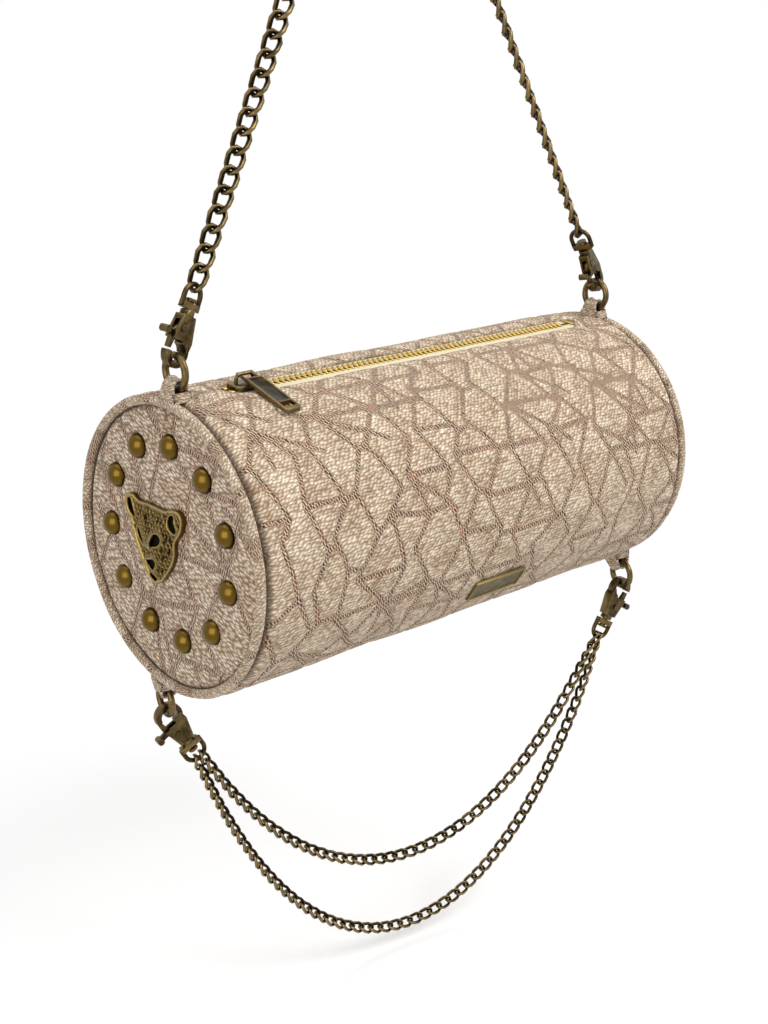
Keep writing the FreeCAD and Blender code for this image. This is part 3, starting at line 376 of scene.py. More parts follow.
def only(obj):
    """Makes obj the one selected and active object."""
    if bpy.context.mode != "OBJECT":
        bpy.ops.object.mode_set(mode="OBJECT")
    bpy.ops.object.select_all(action="DESELECT")
    obj.select_set(True)
    bpy.context.view_layer.objects.active = obj


def put(name, data):
    """A new object of this data, in the scene."""
    obj = bpy.data.objects.new(name, data)
    bpy.context.scene.collection.objects.link(obj)
    return obj


def modify(obj, kind, **settings):
    """Adds a modifier and applies it."""
    only(obj)
    bpy.ops.object.modifier_add(type=kind)
    made = obj.modifiers[-1]
    for key, value in settings.items():
        setattr(made, key, value)
    bpy.ops.object.modifier_apply(modifier=made.name)


def thicken(obj, thickness):
    """Gives a sheet its thickness, on its inner side."""
    modify(obj, "SOLIDIFY", thickness=thickness, offset=-1.0)


def set_floats(mesh, name, values):
    """Writes one number for each point of a mesh."""
    made = mesh.attributes.get(name) or mesh.attributes.new(name, "FLOAT", "POINT")
    made.data.foreach_set("value", np.asarray(values, np.float32))


def mesh_object(name, points, faces, corner_uv=None, line=None, crease=None):
    """An object of its own mesh, smooth shaded, with cloth coordinates, lines and painted crease shade if
    given.
    """
    mesh = bpy.data.meshes.new(name)
    mesh.from_pydata([tuple(p) for p in points], [], faces)
    if corner_uv is not None:
        layer = mesh.uv_layers.new(name="cloth")
        layer.data.foreach_set("uv", np.asarray(corner_uv, np.float32).ravel())
    if line is not None:
        set_floats(mesh, "line", line)
    if crease is not None:
        set_floats(mesh, "crease", crease)
    mesh.update()
    obj = put(name, mesh)
    only(obj)
    bpy.ops.object.shade_smooth()
    return obj


def settle(obj, look, body, *nodes):
    """Gives a finished piece its material and body, and hides the CAD nodes it stands for."""
    obj.data.materials.clear()
    obj.data.materials.append(finish_of(look))
    if nodes:
        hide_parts(*nodes)
    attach(obj, body)
    return obj


def points_and_normals(mesh):
    """The points of a mesh and their normals, a row each."""
    both = []
    for key in ("co", "normal"):
        flat = np.zeros(len(mesh.vertices) * 3)
        mesh.vertices.foreach_get(key, flat)
        both.append(flat.reshape(-1, 3))
    return both


def mark_wear(obj):
    """Wear is how far each point stands out from its neighbours."""
    mesh = obj.data
    places, normals = points_and_normals(mesh)
    ends = np.array([e.vertices[:] for e in mesh.edges])
    total, met = np.zeros(len(places)), np.zeros(len(places))
    for a, b in ((ends[:, 0], ends[:, 1]), (ends[:, 1], ends[:, 0])):
        way = places[a] - places[b]
        way /= np.linalg.norm(way, axis=1, keepdims=True) + 1e-12
        np.add.at(total, a, (way * normals[a]).sum(1))
        np.add.at(met, a, 1)
    set_floats(mesh, "wear", np.clip(0.5 + 1.1 * total / np.maximum(met, 1), 0, 1))


def merged_copy(node, name, flatten=True):
    """A copy of a CAD node's mesh at the origin, with its points merged and its flats made whole."""
    source = frame["nodes"][node]
    obj = put(name, source.data.copy())
    obj.matrix_world = source.matrix_world.copy()
    only(obj)
    bpy.ops.object.transform_apply(location=True, rotation=True, scale=True)
    bpy.ops.object.mode_set(mode="EDIT")
    bpy.ops.mesh.select_all(action="SELECT")
    bpy.ops.mesh.remove_doubles(threshold=0.002 * MM)
    if flatten:
        bpy.ops.mesh.dissolve_limited(angle_limit=math.radians(1.5))
    bpy.ops.object.mode_set(mode="OBJECT")
    return obj


def dressed_copy(node, look, body, bevel_share=1.0, segments=2):
    """A merged copy of a CAD node with rounded edges, which then stands for it."""
    obj = merged_copy(node, node + "_metal")
    if bevel_share:
        modify(obj, "BEVEL", width=sizes().bevel * bevel_share, segments=segments, limit_method="ANGLE",
               angle_limit=math.radians(32), harden_normals=False)
    only(obj)
    bpy.ops.object.shade_smooth_by_angle(angle=math.radians(38))
    mark_wear(obj)
    return settle(obj, look, body, node)


def grid_faces(rows, columns, wrap, closed=False):
    """Quads over rows by columns of points, and each corner's (row, column) as if nothing wrapped."""
    faces, corners = [], []
    for i in range(rows if closed else rows - 1):
        for j in range(columns if wrap else columns - 1):
            square = ((i, j), (i, j + 1), (i + 1, j + 1), (i + 1, j))
            faces.append([a % rows * columns + b % columns for a, b in square])
            corners.extend(square)
    return faces, corners


# The woven pattern


def pattern_segments(run, period, column, seed):
    """Ends of the brown lines: zigzag columns round the barrel, tied by rungs and diagonals."""
    chance = random.Random(seed)
    rung, diagonal = 0.45, 0.32           # how often a knot has one
    columns = int(round(run / column)) + 2
    steps = max(6, 2 * int(round(period / (2 * column * 1.2))))
    knots = {}
    for c in range(columns):
        for k in range(steps):
            lean = chance.choice((0.44, 0.24)) * (1 if (k + c) % 2 else -1)
            u = -run / 2 + (c - 0.5 + lean + chance.uniform(-0.2, 0.2)) * column
            v = (k + chance.uniform(-0.26, 0.26)) * period / steps
            knots[c, k] = (u, v)
    segments = []
    for c in range(columns):
        for k in range(steps):
            u, v = knots[c, k]
            nu, nv = knots[c, (k + 1) % steps]
            segments.append((u, v, nu, nv + (period if k == steps - 1 else 0.0)))
            if c + 1 < columns:
                ru, rv = knots[c + 1, k]
                if chance.random() < rung:
                    segments.append((u, v, ru, v + 0.25 * (rv - v)))
                if chance.random() < diagonal:
                    segments.append((u, v, ru, rv + (period / steps) * chance.choice((0.0, 1.0))))
    return np.array(segments)


def nearest(u, v, segments):
    """Distance from each point to the nearest segment."""
    best = np.full(u.shape, 1e9)
    for u0, v0, u1, v1 in segments:
        du, dv = u1 - u0, v1 - v0
        t = np.clip(((u - u0) * du + (v - v0) * dv) / (du * du + dv * dv + 1e-18), 0, 1)
        best = np.minimum(best, np.hypot(u - u0 - t * du, v - v0 - t * dv))
    return best


def line_depth(u, v, segments, period, half):
    """How far inside a line each point lies, as a share of its half width; a period joins the cloth's edges."""
    shifts = (-period, 0.0, period) if period else (0.0,)
    best = np.min([nearest(u, v + shift, segments) for shift in shifts], axis=0)
    return 1.0 - np.minimum(best, 3 * half) / half


# Chains


def nurbs_route(points):
    """Points along a third-order curve that ends at its outer points."""
    curve = bpy.data.curves.new("route", "CURVE")
    curve.dimensions = "3D"
    curve.resolution_u = 24
    spline = curve.splines.new("NURBS")
    spline.points.add(len(points) - 1)
    for spot, p in zip(spline.points, points):
        spot.co = (*p, 1.0)
    spline.order_u = 3
    spline.use_endpoint_u = True
    obj = put("route", curve)
    bpy.context.view_layer.update()
    mesh = bpy.data.meshes.new_from_object(obj.evaluated_get(bpy.context.evaluated_depsgraph_get()))
    route = [Vector(v.co) for v in mesh.vertices]
    bpy.data.objects.remove(obj)
    bpy.data.meshes.remove(mesh)
    return route


def walk(route, pitch, first):
    """Points and directions at even steps along a route."""
    out, travelled, want = [], 0.0, first
    for p, q in zip(route, route[1:]):
        span = (q - p).length
        while span > 0 and want <= travelled + span:
            out.append((p + (q - p) * ((want - travelled) / span), (q - p).normalized()))
            want += pitch
        travelled += span
    return out


def link_mesh(reach, width, wire):
    """Points, faces and wear of one twisted curb link that lies along X."""
    stations, around = 12, 6
    a, b = (reach - wire) / 2, (width - wire) / 2
    centre = []
    for k in range(stations):
        t = 2 * math.pi * (k + 0.5) / stations
        c, s = math.cos(t), math.sin(t)
        u = a * math.copysign(abs(c) ** 0.8, c)
        v = b * math.copysign(abs(s) ** 0.8, s)
        twist = math.radians(LINK_TWIST) * max(-1.0, min(1.0, u / a))
        centre.append(Vector((u, v * math.cos(twist), v * math.sin(twist))))
    points, wear = [], []
    for k in range(stations):
        tangent = (centre[(k + 1) % stations] - centre[k - 1]).normalized()
        outward = Vector((centre[k].x * 0.6, centre[k].y, centre[k].z))
        outward = (outward - tangent * outward.dot(tangent)).normalized()
        side = tangent.cross(outward)
        for j in range(around):
            q = 2 * math.pi * j / around
            points.append(centre[k] + (outward * math.cos(q) + side * math.sin(q)) * wire / 2)
            wear.append(0.35 + 0.40 * math.cos(q))
    return points, grid_faces(stations, around, True, True)[0], wear


def end_to_end(route):
    """Length of a route."""
    return sum((q - p).length for p, q in zip(route, route[1:]))


def chain(name, route, width, wire, end_wire, pitch_length, facing, end_roll, chance):
    """Curb links along a route, with the roll of the CAD chain and slimmer links in the clasps' eyes."""
    slack = sizes().link_slack
    run = end_to_end(route) - end_wire - slack
    count = int(round(run / pitch_length))
    pitch = run / count
    inner, link_faces, link_wear = link_mesh(pitch + 2 * wire + slack, width, wire)
    outer = link_mesh(pitch + 2 * end_wire + slack, width, end_wire)[0]
    points, faces, wear = [], [], []
    for k, (spot, heading) in enumerate(walk(route, pitch, (pitch + end_wire + slack) / 2)[:count]):
        flat = (facing - heading * facing.dot(heading)).normalized()
        late = max(0.0, (k / (count - 1) - ROLL_START) / (1 - ROLL_START))
        roll = math.radians(-LINK_TWIST + end_roll * late + chance.uniform(-4, 4))
        turn = Matrix((heading, flat.cross(heading), flat)).transposed().to_4x4()
        place = Matrix.Translation(spot) @ turn @ Matrix.Rotation(roll, 4, "X")
        base = len(points)
        points.extend(place @ p for p in (inner if 0 < k < count - 1 else outer))
        faces.extend([base + i for i in f] for f in link_faces)
        rub = chance.uniform(-0.08, 0.08)
        wear.extend(w + rub for w in link_wear)
    obj = mesh_object(name, points, faces)
    set_floats(obj.data, "wear", np.clip(wear, 0, 1))
    return obj


class BAG_OT_strap(bpy.types.Operator):
    """Curb chain of the strap, straight from each clasp to the bend at the top"""
    bl_idname = "bag.strap"
    bl_label = "Strap chain"

    def execute(self, context):
        s = sizes()
        eye, along = pivot("strap_left_swivel")
        upright = Vector((0, along.y, along.z)).normalized()
        knee = eye - along * (eye.dot(upright) / along.dot(upright))
        start = eye + along * s.eye_seat
        # The runs meet the level of the top at the knees, and a point down each run keeps it straight.
        mirror = Matrix.Diagonal((-1, 1, 1))
        bend = knee - along * abs(knee.x)
        doubled = knee + (bend - knee) * 2
        points = [start, doubled, knee, mirror @ knee, mirror @ doubled, mirror @ start]
        route = nurbs_route(points)
        obj = chain("strap_links", route, s.strap_width, s.strap_wire, s.strap_wire, STRAP_PITCH,
                    Vector((1, 0, 0)).cross(upright), 0.0, random.Random(3))
        settle(obj, "antique", "strap", "strap_chain")
        return {"FINISHED"}


def hung(p, q, drop, steps=24):
    """Control points of a catenary from p to q, lowest drop below them."""
    span = (q - p).length / 2
    low, high = 0.0, 20.0
    for _ in range(80):
        bend = (low + high) / 2
        if (math.cosh(bend) - 1) / bend > drop / span:
            high = bend
        else:
            low = bend
    out = []
    for k in range(steps + 1):
        s = 2 * k / steps - 1
        fall = drop - span / bend * (math.cosh(s * bend) - 1)
        out.append(p + (q - p) * ((s + 1) / 2) - Vector((0, 0, fall)))
    return out


class BAG_OT_swags(bpy.types.Operator):
    """Two finer chains hung below the barrel"""
    bl_idname = "bag.swags"
    bl_label = "Swag chains"

    def execute(self, context):
        s = sizes()
        left, left_way = pivot("swag_left_swivel")
        right, right_way = pivot("swag_right_swivel")
        axis = (right - left).normalized()
        across = Vector((0, 0, 1)).cross(axis).normalized()
        chance = random.Random(5)
        for level, sign in (("upper", 1), ("lower", -1)):
            p = left + left_way * s.eye_seat - across.cross(left_way) * (sign * SWAG_ASIDE)
            q = right + right_way * s.eye_seat + across.cross(right_way) * (sign * SWAG_ASIDE)
            route = nurbs_route(hung(p, q, SWAG_DROPS[level]))
            obj = chain(level + "_swag_links", route, s.swag_width, s.swag_wire, s.swag_end_wire, SWAG_PITCH,
                        -across, -90.0, chance)
            settle(obj, "antique", "swag", level + "_swag_chain")
        return {"FINISHED"}


# Cloth


def smooth(t):
    """Eases from 0 to 1."""
    t = np.clip(t, 0, 1)
    return t * t * (3 - 2 * t)


def ripple(u, v, seed, wave):
    """Slow unevenness of stretched cloth, mostly between -1 and 1."""
    chance = random.Random(seed)
    total = np.zeros_like(u)
    for _ in range(6):
        angle, phase = chance.uniform(0, math.pi), chance.uniform(0, 2 * math.pi)
        scale = chance.uniform(0.6, 1.6) * 2 * math.pi / wave
        total = total + np.sin((u * math.cos(angle) + v * math.sin(angle)) * scale + phase)
    return total / 3.0


class BAG_OT_barrel_cloth(bpy.types.Operator):
    """Woven cloth round the barrel, sunk at the zip, with a sewn groove by each piping"""
    bl_idname = "bag.barrel_cloth"
    bl_label = "Barrel cloth"

    def execute(self, context):
        s = sizes()
        r = BARREL_RADIUS
        half_turn = math.pi * r
        lip = r * math.asin(s.slot_half / r)
        across = np.concatenate([np.linspace(-half_turn, -lip, int((half_turn - lip) / s.cloth_step)),
                                 np.linspace(-lip, lip, 9)[1:-1],
                                 np.linspace(lip, half_turn, int((half_turn - lip) / s.cloth_step))[:-1]])
        inner = s.slot_reach
        turn_in = 2.2 * MM                # cloth past the panel, and how deep it goes there
        tuck = PANEL_X + turn_in
        along = np.concatenate([np.linspace(-tuck, -inner, 19)[:-1],
                                np.linspace(-inner, inner, int(2 * inner / s.cloth_step)),
                                np.linspace(inner, tuck, 19)[1:]])
        u, v = np.meshgrid(along, across, indexing="ij")
        period = 2 * half_turn
        lines = pattern_segments(2 * PANEL_X, period, s.column, 11)
        depth = line_depth(u, v, lines, period, s.line_half)
        edge = np.clip(np.abs(v) - lip, 0, None)
        # The slot is drawn shut at its ends, sooner at the slider's end.
        closing, slider_room, past_end, past_lip = 5.5 * MM, 10.5 * MM, 4 * MM, 6 * MM
        shut = smooth(np.where(u < 0, -u - inner + slider_room, u - inner + closing) / closing)
        shut = 0.97 * shut * np.exp(-np.clip(np.abs(u) - inner, 0, None) / past_end)
        pinch = shut * np.minimum(np.abs(v), lip) * np.exp(-edge / past_lip)
        # Elsewhere its lips sink to the zip, and painted shade darkens them.
        run_out, sunk_width, dark_width = 6 * MM, 3 * MM, 1.1 * MM
        beside = np.clip((inner + run_out / 2 - np.abs(u)) / run_out, 0, 1) * (1 - 0.8 * shut)
        dip = s.lip_dip * np.exp(-edge / sunk_width) * beside
        # The cloth turns down into the piping, where painted shade darkens it, and a groove is sewn before
        # that.
        fold, fold_run, dark, dark_run = 2.4 * MM, 3.6 * MM, 1.3 * MM, 1.6 * MM
        groove, groove_half, groove_depth = 6.2 * MM, 0.9 * MM, 0.45 * MM
        away = PANEL_X - np.abs(u)
        seam = turn_in * smooth((fold - away) / fold_run)
        seam += groove_depth * np.exp(-((away - groove) / groove_half) ** 2)
        crease = 0.9 * smooth((dark - away) / dark_run)
        # Painted shade along the zip's lips.
        crease = np.maximum(crease, 0.45 * beside * np.exp(-(edge / dark_width) ** 2))
        # Slow waves that die out at the ends, and lines that sink into the cloth.
        wave, wave_height, wave_end, line_sink = 70 * MM, 0.35 * MM, 20 * MM, 0.30 * MM
        slow = wave_height * ripple(u, v, 2, wave) * np.clip(away / wave_end, 0, 1)
        sink = line_sink * np.clip(depth + 0.4, 0, 1)
        radius = r - 0.1 * MM - dip - seam + slow - sink
        angle = (v - np.sign(v) * pinch) / r + s.slot_turn
        points = np.stack([u, AXIS_Y - radius * np.sin(angle), AXIS_Z + radius * np.cos(angle)], -1)
        columns = len(across)
        faces, corners = grid_faces(len(along), columns, True)
        open_u = (np.abs(along[:-1] + along[1:]) / 2) < inner
        kept, places = [], []
        for n, face in enumerate(faces):
            i, j = corners[4 * n]
            nxt = across[(j + 1) % columns]
            if open_u[i] and j + 1 < columns and abs(across[j] + nxt) / 2 < lip:
                continue
            kept.append(face)
            for a, b in corners[4 * n:4 * n + 4]:
                places.append((along[a] / UV_UNIT, (across[b] if b < columns else half_turn) / UV_UNIT))
        obj = mesh_object("barrel_cloth", points.reshape(-1, 3), kept, places, depth.ravel(), crease.ravel())
        thicken(obj, s.cloth)
        settle(obj, "tweed", "bag", "body_panel", "stiffener")
        return {"FINISHED"}


def weave(y, z):
    """Cloth coordinates of an end piece, which is cut on the bias."""
    turn = math.radians(38.0)
    return ((y * math.cos(turn) + z * math.sin(turn)) / UV_UNIT,
            (z * math.cos(turn) - y * math.sin(turn)) / UV_UNIT)


def turned_over(faces, corner_uv):
    """The same faces seen from their other side."""
    flipped, places, start = [], [], 0
    for face in faces:
        stop = start + len(face)
        flipped.append(face[::-1])
        places.extend(corner_uv[start:stop][::-1])
        start = stop
    return flipped, places


def stud_centres():
    """Middles of the studs in the end's plane, read from the frame's separate domes."""
    mesh = frame["nodes"]["dome_studs"].data
    parent = list(range(len(mesh.vertices)))

    def root(k):
        while parent[k] != k:
            parent[k] = parent[parent[k]]
            k = parent[k]
        return k

    spots = {}
    for v in mesh.vertices:
        key = tuple(round(c / (0.01 * MM)) for c in v.co)
        first = spots.setdefault(key, v.index)
        parent[root(v.index)] = root(first)
    for e in mesh.edges:
        parent[root(e.vertices[0])] = root(e.vertices[1])
    groups = {}
    for v in mesh.vertices:
        groups.setdefault(root(v.index), []).append(v.co)
    out = []
    for group in groups.values():
        ys = [c.y for c in group]
        zs = [c.z for c in group]
        out.append(((min(ys) + max(ys)) / 2 - AXIS_Y, (min(zs) + max(zs)) / 2 - AXIS_Z))
    return out


class BAG_OT_end_cloth(bpy.types.Operator):
    """Round woven end pieces, drawn in at the piping and pressed under the studs"""
    bl_idname = "bag.end_cloth"
    bl_label = "End cloth"

    def execute(self, context):
        s = sizes()
        edge = CAP_RADIUS + 1.0 * MM      # where the cloth meets the piping
        reach = edge + 1.2 * MM           # and where it ends under it
        square = 130 * MM                 # of pattern, which the end is cut from
        proud, drawn_in = 0.5 * MM, 1.5 * MM
        fold, fold_run, dark, dark_run = 1.8 * MM, 2.4 * MM, 1.1 * MM, 1.3 * MM
        wave, wave_height, line_sink = 40 * MM, 0.25 * MM, 0.25 * MM
        dent, dent_width = 0.55 * MM, 6.0 * MM
        rings = np.concatenate([[0.4 * MM], np.linspace(2 * MM, reach, 40)])
        turns = np.linspace(0, 2 * math.pi, 193)[:-1]
        rad, ang = np.meshgrid(rings, turns, indexing="ij")
        y, z = rad * np.cos(ang), rad * np.sin(ang)
        studs = stud_centres()
        for side, word in SIDES:
            lines = pattern_segments(square, square, 1.3 * s.column, 23 + side)
            depth = line_depth(y, z + square / 2, lines, 0.0, s.line_half)
            away = edge - rad
            out = proud - drawn_in * smooth((fold - away) / fold_run)
            out = out + wave_height * ripple(y, z, 9 + side, wave) - line_sink * np.clip(depth + 0.4, 0, 1)
            if side < 0:
                for sy, sz in studs:
                    gap = np.hypot(y - sy, z - sz)
                    out = out - dent * np.exp(-(gap / dent_width) ** 4)
            # Painted shade where the cloth turns down into the piping.
            crease = 0.95 * smooth((dark - away) / dark_run)
            x = side * (CAP_FACE + out)
            points = np.stack([x, AXIS_Y + y, AXIS_Z + z], -1).reshape(-1, 3)
            faces, corners = grid_faces(len(rings), len(turns), True)
            flat = [weave(y[a, b % len(turns)], z[a, b % len(turns)]) for a, b in corners]
            hub = list(range(len(turns)))
            faces.append(hub[::-1])
            flat.extend(weave(y[0, b], z[0, b]) for b in hub[::-1])
            if side > 0:
                faces, flat = turned_over(faces, flat)
            obj = mesh_object(word + "_end_cloth", points, faces, flat, depth.ravel(), crease.ravel())
            thicken(obj, s.cloth)
            settle(obj, "end_tweed", "bag", word + "_end_panel", word + "_end_board")
        return {"FINISHED"}


class BAG_OT_piping(bpy.types.Operator):
    """Rolled edges: cloth wrapped round a cord, with the small pulls of its stitches"""
    bl_idname = "bag.piping"
    bl_label = "Piping"

    def execute(self, context):
        wire = PIPE_WIRE / 2
        roll = sizes().piping / 2
        middle = PIPE_RADIUS + wire - roll
        proud = 0.3 * MM                  # past the end of the CAD piping
        turns = np.linspace(0, 2 * math.pi, 261)[:-1]
        section = np.linspace(0, 2 * math.pi, 21)[:-1]
        b, a = np.meshgrid(section, turns, indexing="ij")
        stitches, stitch_pull, wave, wave_height = 150, 0.05 * MM, 22 * MM, 0.10 * MM
        pull = stitch_pull * np.sin(a * stitches + np.sin(a * 7))
        pull = pull + wave_height * ripple(a * PIPE_RADIUS, b * wire, 31, wave)
        thick = roll + pull * (0.5 + 0.5 * np.cos(b))
        radius = middle + thick * np.cos(b)
        # The cloth's lines cross the roll here and there.
        crossings = 13
        marks = np.clip(3.0 * np.sin(a * crossings + 2 * np.sin(a * 5)) - 2.2, -2.0, 0.6)
        faces, corners = grid_faces(len(section), len(turns), True, True)
        girth, ring = 2 * math.pi * wire / UV_UNIT, 2 * math.pi * PIPE_RADIUS / UV_UNIT
        flat = [(n * girth / len(section), m * ring / len(turns)) for n, m in corners]
        for side, word in SIDES:
            x = side * (END_X + proud - roll) + thick * np.sin(b)
            points = np.stack([x, AXIS_Y + radius * np.cos(a), AXIS_Z + radius * np.sin(a)], -1)
            obj = mesh_object(word + "_piping_roll", points.reshape(-1, 3), faces, flat, marks.ravel())
            settle(obj, "edge_tweed", "bag", word + "_piping")
        return {"FINISHED"}


def folded_tab(name, centre, axis):
    """A strip that rises from the barrel, goes over a ring's wire and comes down again."""
    s = sizes()
    low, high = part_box("upper_left_ring")
    wire = (high.x - low.x) / 2
    ring = (high.z - low.z) / 2 - wire
    toward = Vector((0, AXIS_Y - centre.y, AXIS_Z - centre.z))
    foot = toward.length - BARREL_RADIUS + 0.8 * MM
    toward = (toward - axis * toward.dot(axis)).normalized()
    across = axis.cross(toward)
    over = wire + s.tab_cloth + 0.2 * MM
    spread = math.asin(min(s.tab_half / ring, 0.95))
    rows, turns, leg = 15, np.radians(np.linspace(-100, 100, 15)), 7
    step = 0.9 * MM / UV_UNIT             # cloth between two columns of points
    points = []
    for t in np.linspace(-1, 1, rows):
        lean = t * spread
        held = centre + (toward * math.cos(lean) + across * math.sin(lean)) * ring
        up = -(toward * math.cos(0.3 * lean) + across * math.sin(0.3 * lean))
        fold = [held + (axis * math.sin(a) + up * math.cos(a)) * over for a in turns]
        side = across * (s.tab_foot * t)
        for end, sign in ((fold[0], -1), (fold[-1], 1)):
            base = centre + toward * foot + side + axis * (sign * (over + 0.5 * MM))
            run = [end.lerp(base, k / leg) + axis * (sign * 0.3 * MM * math.sin(math.pi * k / leg))
                   for k in range(1, leg + 1)]
            fold = run[::-1] + fold if sign < 0 else fold + run
        points.extend(fold)
    columns = len(turns) + 2 * leg
    faces, corners = grid_faces(rows, columns, False)
    flat = [(a * 2 * s.tab_half / (rows - 1) / UV_UNIT, b * step) for a, b in corners]
    middle_face = faces[len(faces) // 2]
    last = (rows - 1) * columns
    # Below the ring, the sides between the two legs are closed.
    for j in range(leg - 2):
        far = columns - 1 - j
        for first, ends in ((0, (j, j + 1, far - 1, far)), (last, (j + 1, j, far, far - 1))):
            faces.append([first + k for k in ends])
            flat.extend(((0.0 if k <= j + 1 else 2 * over) / UV_UNIT, min(k, columns - 1 - k) * step)
                        for k in ends)
    p, q, r = (points[k] for k in middle_face[:3])
    if (q - p).cross(r - q).dot(toward) > 0:
        faces, flat = turned_over(faces, flat)
    obj = mesh_object(name, points, faces, flat, np.full(len(points), -2.0))
    thicken(obj, s.tab_cloth)
    modify(obj, "SUBSURF", levels=1)
    return obj


class BAG_OT_tabs(bpy.types.Operator):
    """Cloth strips folded over the four rings and sewn down at the ends of the barrel"""
    bl_idname = "bag.tabs"
    bl_label = "Tabs"

    def execute(self, context):
        for level in ("upper", "lower"):
            for word in ("left", "right"):
                node = "%s_%s_tab" % (level, word)
                centre, axis = pivot("%s_%s_ring_turn" % (level, word))
                obj = folded_tab(node + "_cloth", centre, axis)
                settle(obj, "edge_tweed", "bag", node)
        return {"FINISHED"}


# Zip


class BAG_OT_zip_tapes(bpy.types.Operator):
    """Cream tapes either side of the teeth, tucked under the cloth's lips"""
    bl_idname = "bag.zip_tapes"
    bl_label = "Zip tapes"

    def execute(self, context):
        s = sizes()
        r = BARREL_RADIUS - s.cloth
        top = r - 0.3 * MM
        for sign, word in ((1, "front"), (-1, "rear")):
            low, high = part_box(word + "_zip_tape")
            along = np.linspace(low.x, high.x, 150)
            # Level beside the teeth, then steep towards the lip and gentle under it.
            level, low_edge, steep, gentle = 4.4 * MM, 7.0 * MM, 0.58, 0.2
            across = np.concatenate([np.linspace(1.2 * MM, level, 6), np.linspace(4.8 * MM, TAPE_WIDTH, 14)])
            fall = top - np.clip(across - level, 0, low_edge - level) * steep
            fall = fall - np.clip(across - low_edge, 0, None) * gentle
            u, v = np.meshgrid(along, across, indexing="ij")
            z = np.broadcast_to(fall, u.shape) + 0.10 * MM * ripple(u, v, 4 + sign, 30 * MM)
            turn = s.slot_turn
            y0 = -sign * v
            y = y0 * math.cos(turn) - z * math.sin(turn)
            h = y0 * math.sin(turn) + z * math.cos(turn)
            points = np.stack([u, AXIS_Y + y, AXIS_Z + h], -1).reshape(-1, 3)
            faces, _ = grid_faces(len(along), len(across), False)
            if sign < 0:
                faces = [f[::-1] for f in faces]
            obj = mesh_object(word + "_tape_cloth", points, faces)
            thicken(obj, TAPE_CLOTH)
            settle(obj, "tape", "bag", word + "_zip_tape")
        return {"FINISHED"}


class BAG_OT_zip_teeth(bpy.types.Operator):
    """The frame's zip teeth and stops with rounded edges, in bright brass"""
    bl_idname = "bag.zip_teeth"
    bl_label = "Zip teeth"

    def execute(self, context):
        for word in ("front", "rear"):
            dressed_copy(word + "_zip_teeth", "gold", "bag", 0.9, 1)
        dressed_copy("zip_stops", "gold", "bag", 1.2)
        return {"FINISHED"}


class BAG_OT_slider(bpy.types.Operator):
    """Slider with its bail, and the slotted pull tag"""
    bl_idname = "bag.slider"
    bl_label = "Slider and tag"

    def execute(self, context):
        dressed_copy("zip_slider", "antique", "zip_slider", 1.3)
        dressed_copy("pull_tag", "antique", "pull_tag", 0.8)
        return {"FINISHED"}


class BAG_OT_lining(bpy.types.Operator):
    """Lining cloth inside the barrel"""
    bl_idname = "bag.lining"
    bl_label = "Lining"

    def execute(self, context):
        obj = merged_copy("lining", "lining_cloth", False)
        only(obj)
        bpy.ops.object.shade_smooth_by_angle(angle=math.radians(40))
        settle(obj, "lining", "bag", "lining")
        return {"FINISHED"}


# Metal


class BAG_OT_studs(bpy.types.Operator):
    """The frame's dome studs on the left end, with a painted highlight on top and painted shade at the rim, and
    their backs inside
    """
    bl_idname = "bag.studs"
    bl_label = "Studs"

    def execute(self, context):
        obj = dressed_copy("dome_studs", "stud", "bag", 0.0)
        low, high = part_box("dome_studs")
        # Painted light: lighter toward the dome's top and darker toward its rim.
        rise = [(high.x - v.co.x) / (high.x - low.x) for v in obj.data.vertices]
        set_floats(obj.data, "wear", smooth((np.array(rise) - 0.35) / 0.6))
        dressed_copy("stud_backs", "antique", "bag", 0.0)
        return {"FINISHED"}


# Outline of the big-cat head and of its openings, in mm from the middle of the ornament (to the rear, up)
HEAD = ((13.8, 16.2), (11.0, 15.9), (8.7, 14.6), (6.0, 14.6), (2.0, 14.9), (-1.4, 14.8), (-5.3, 14.6),
        (-8.7, 14.5), (-11.0, 15.5), (-14.1, 16.2), (-16.6, 15.8), (-18.3, 14.2), (-18.5, 12.0), (-17.6, 9.1),
        (-15.9, 6.6), (-13.9, 4.5), (-13.2, 2.9), (-13.2, 0.6), (-13.1, -1.2), (-11.7, -4.4), (-9.5, -7.5),
        (-7.0, -10.3), (-4.9, -12.8), (-2.1, -14.1), (0.7, -14.2), (3.0, -13.4), (4.4, -11.7), (6.5, -8.7),
        (8.3, -6.1), (9.7, -3.6), (11.0, -1.2), (12.0, 1.4), (12.5, 4.1), (13.5, 6.2), (15.0, 8.2),
        (16.0, 10.3), (16.4, 12.5), (15.5, 14.9))
HOLLOWS = (((14.9, 13.1), (13.2, 13.8), (12.2, 12.2), (10.8, 9.5), (10.9, 8.3), (12.6, 8.1), (14.4, 10.2)),
           ((-10.3, 11.8), (-11.6, 13.0), (-13.4, 13.2), (-13.3, 11.6), (-13.9, 9.9), (-14.2, 8.4),
            (-12.6, 7.6), (-11.2, 8.3), (-10.2, 9.9)),
           ((9.6, 3.3), (8.4, 4.1), (6.9, 2.1), (5.9, 0.0), (6.1, -1.4), (7.6, -0.4), (9.4, 1.5)),
           ((-0.4, 2.5), (-1.6, 3.8), (-4.0, 4.4), (-5.1, 3.3), (-4.5, 1.5), (-2.1, 0.2), (-0.5, 0.0),
            (0.4, -1.4), (1.5, -1.0), (1.0, 0.5)),
           ((5.2, -7.0), (3.2, -6.9), (0.0, -5.5), (-1.3, -6.3), (-0.5, -8.2), (1.6, -9.7), (3.5, -8.6)),
           ((3.0, -12.0), (2.0, -11.3), (0.5, -11.8), (-1.2, -12.5), (-0.6, -13.4), (1.8, -13.1)))


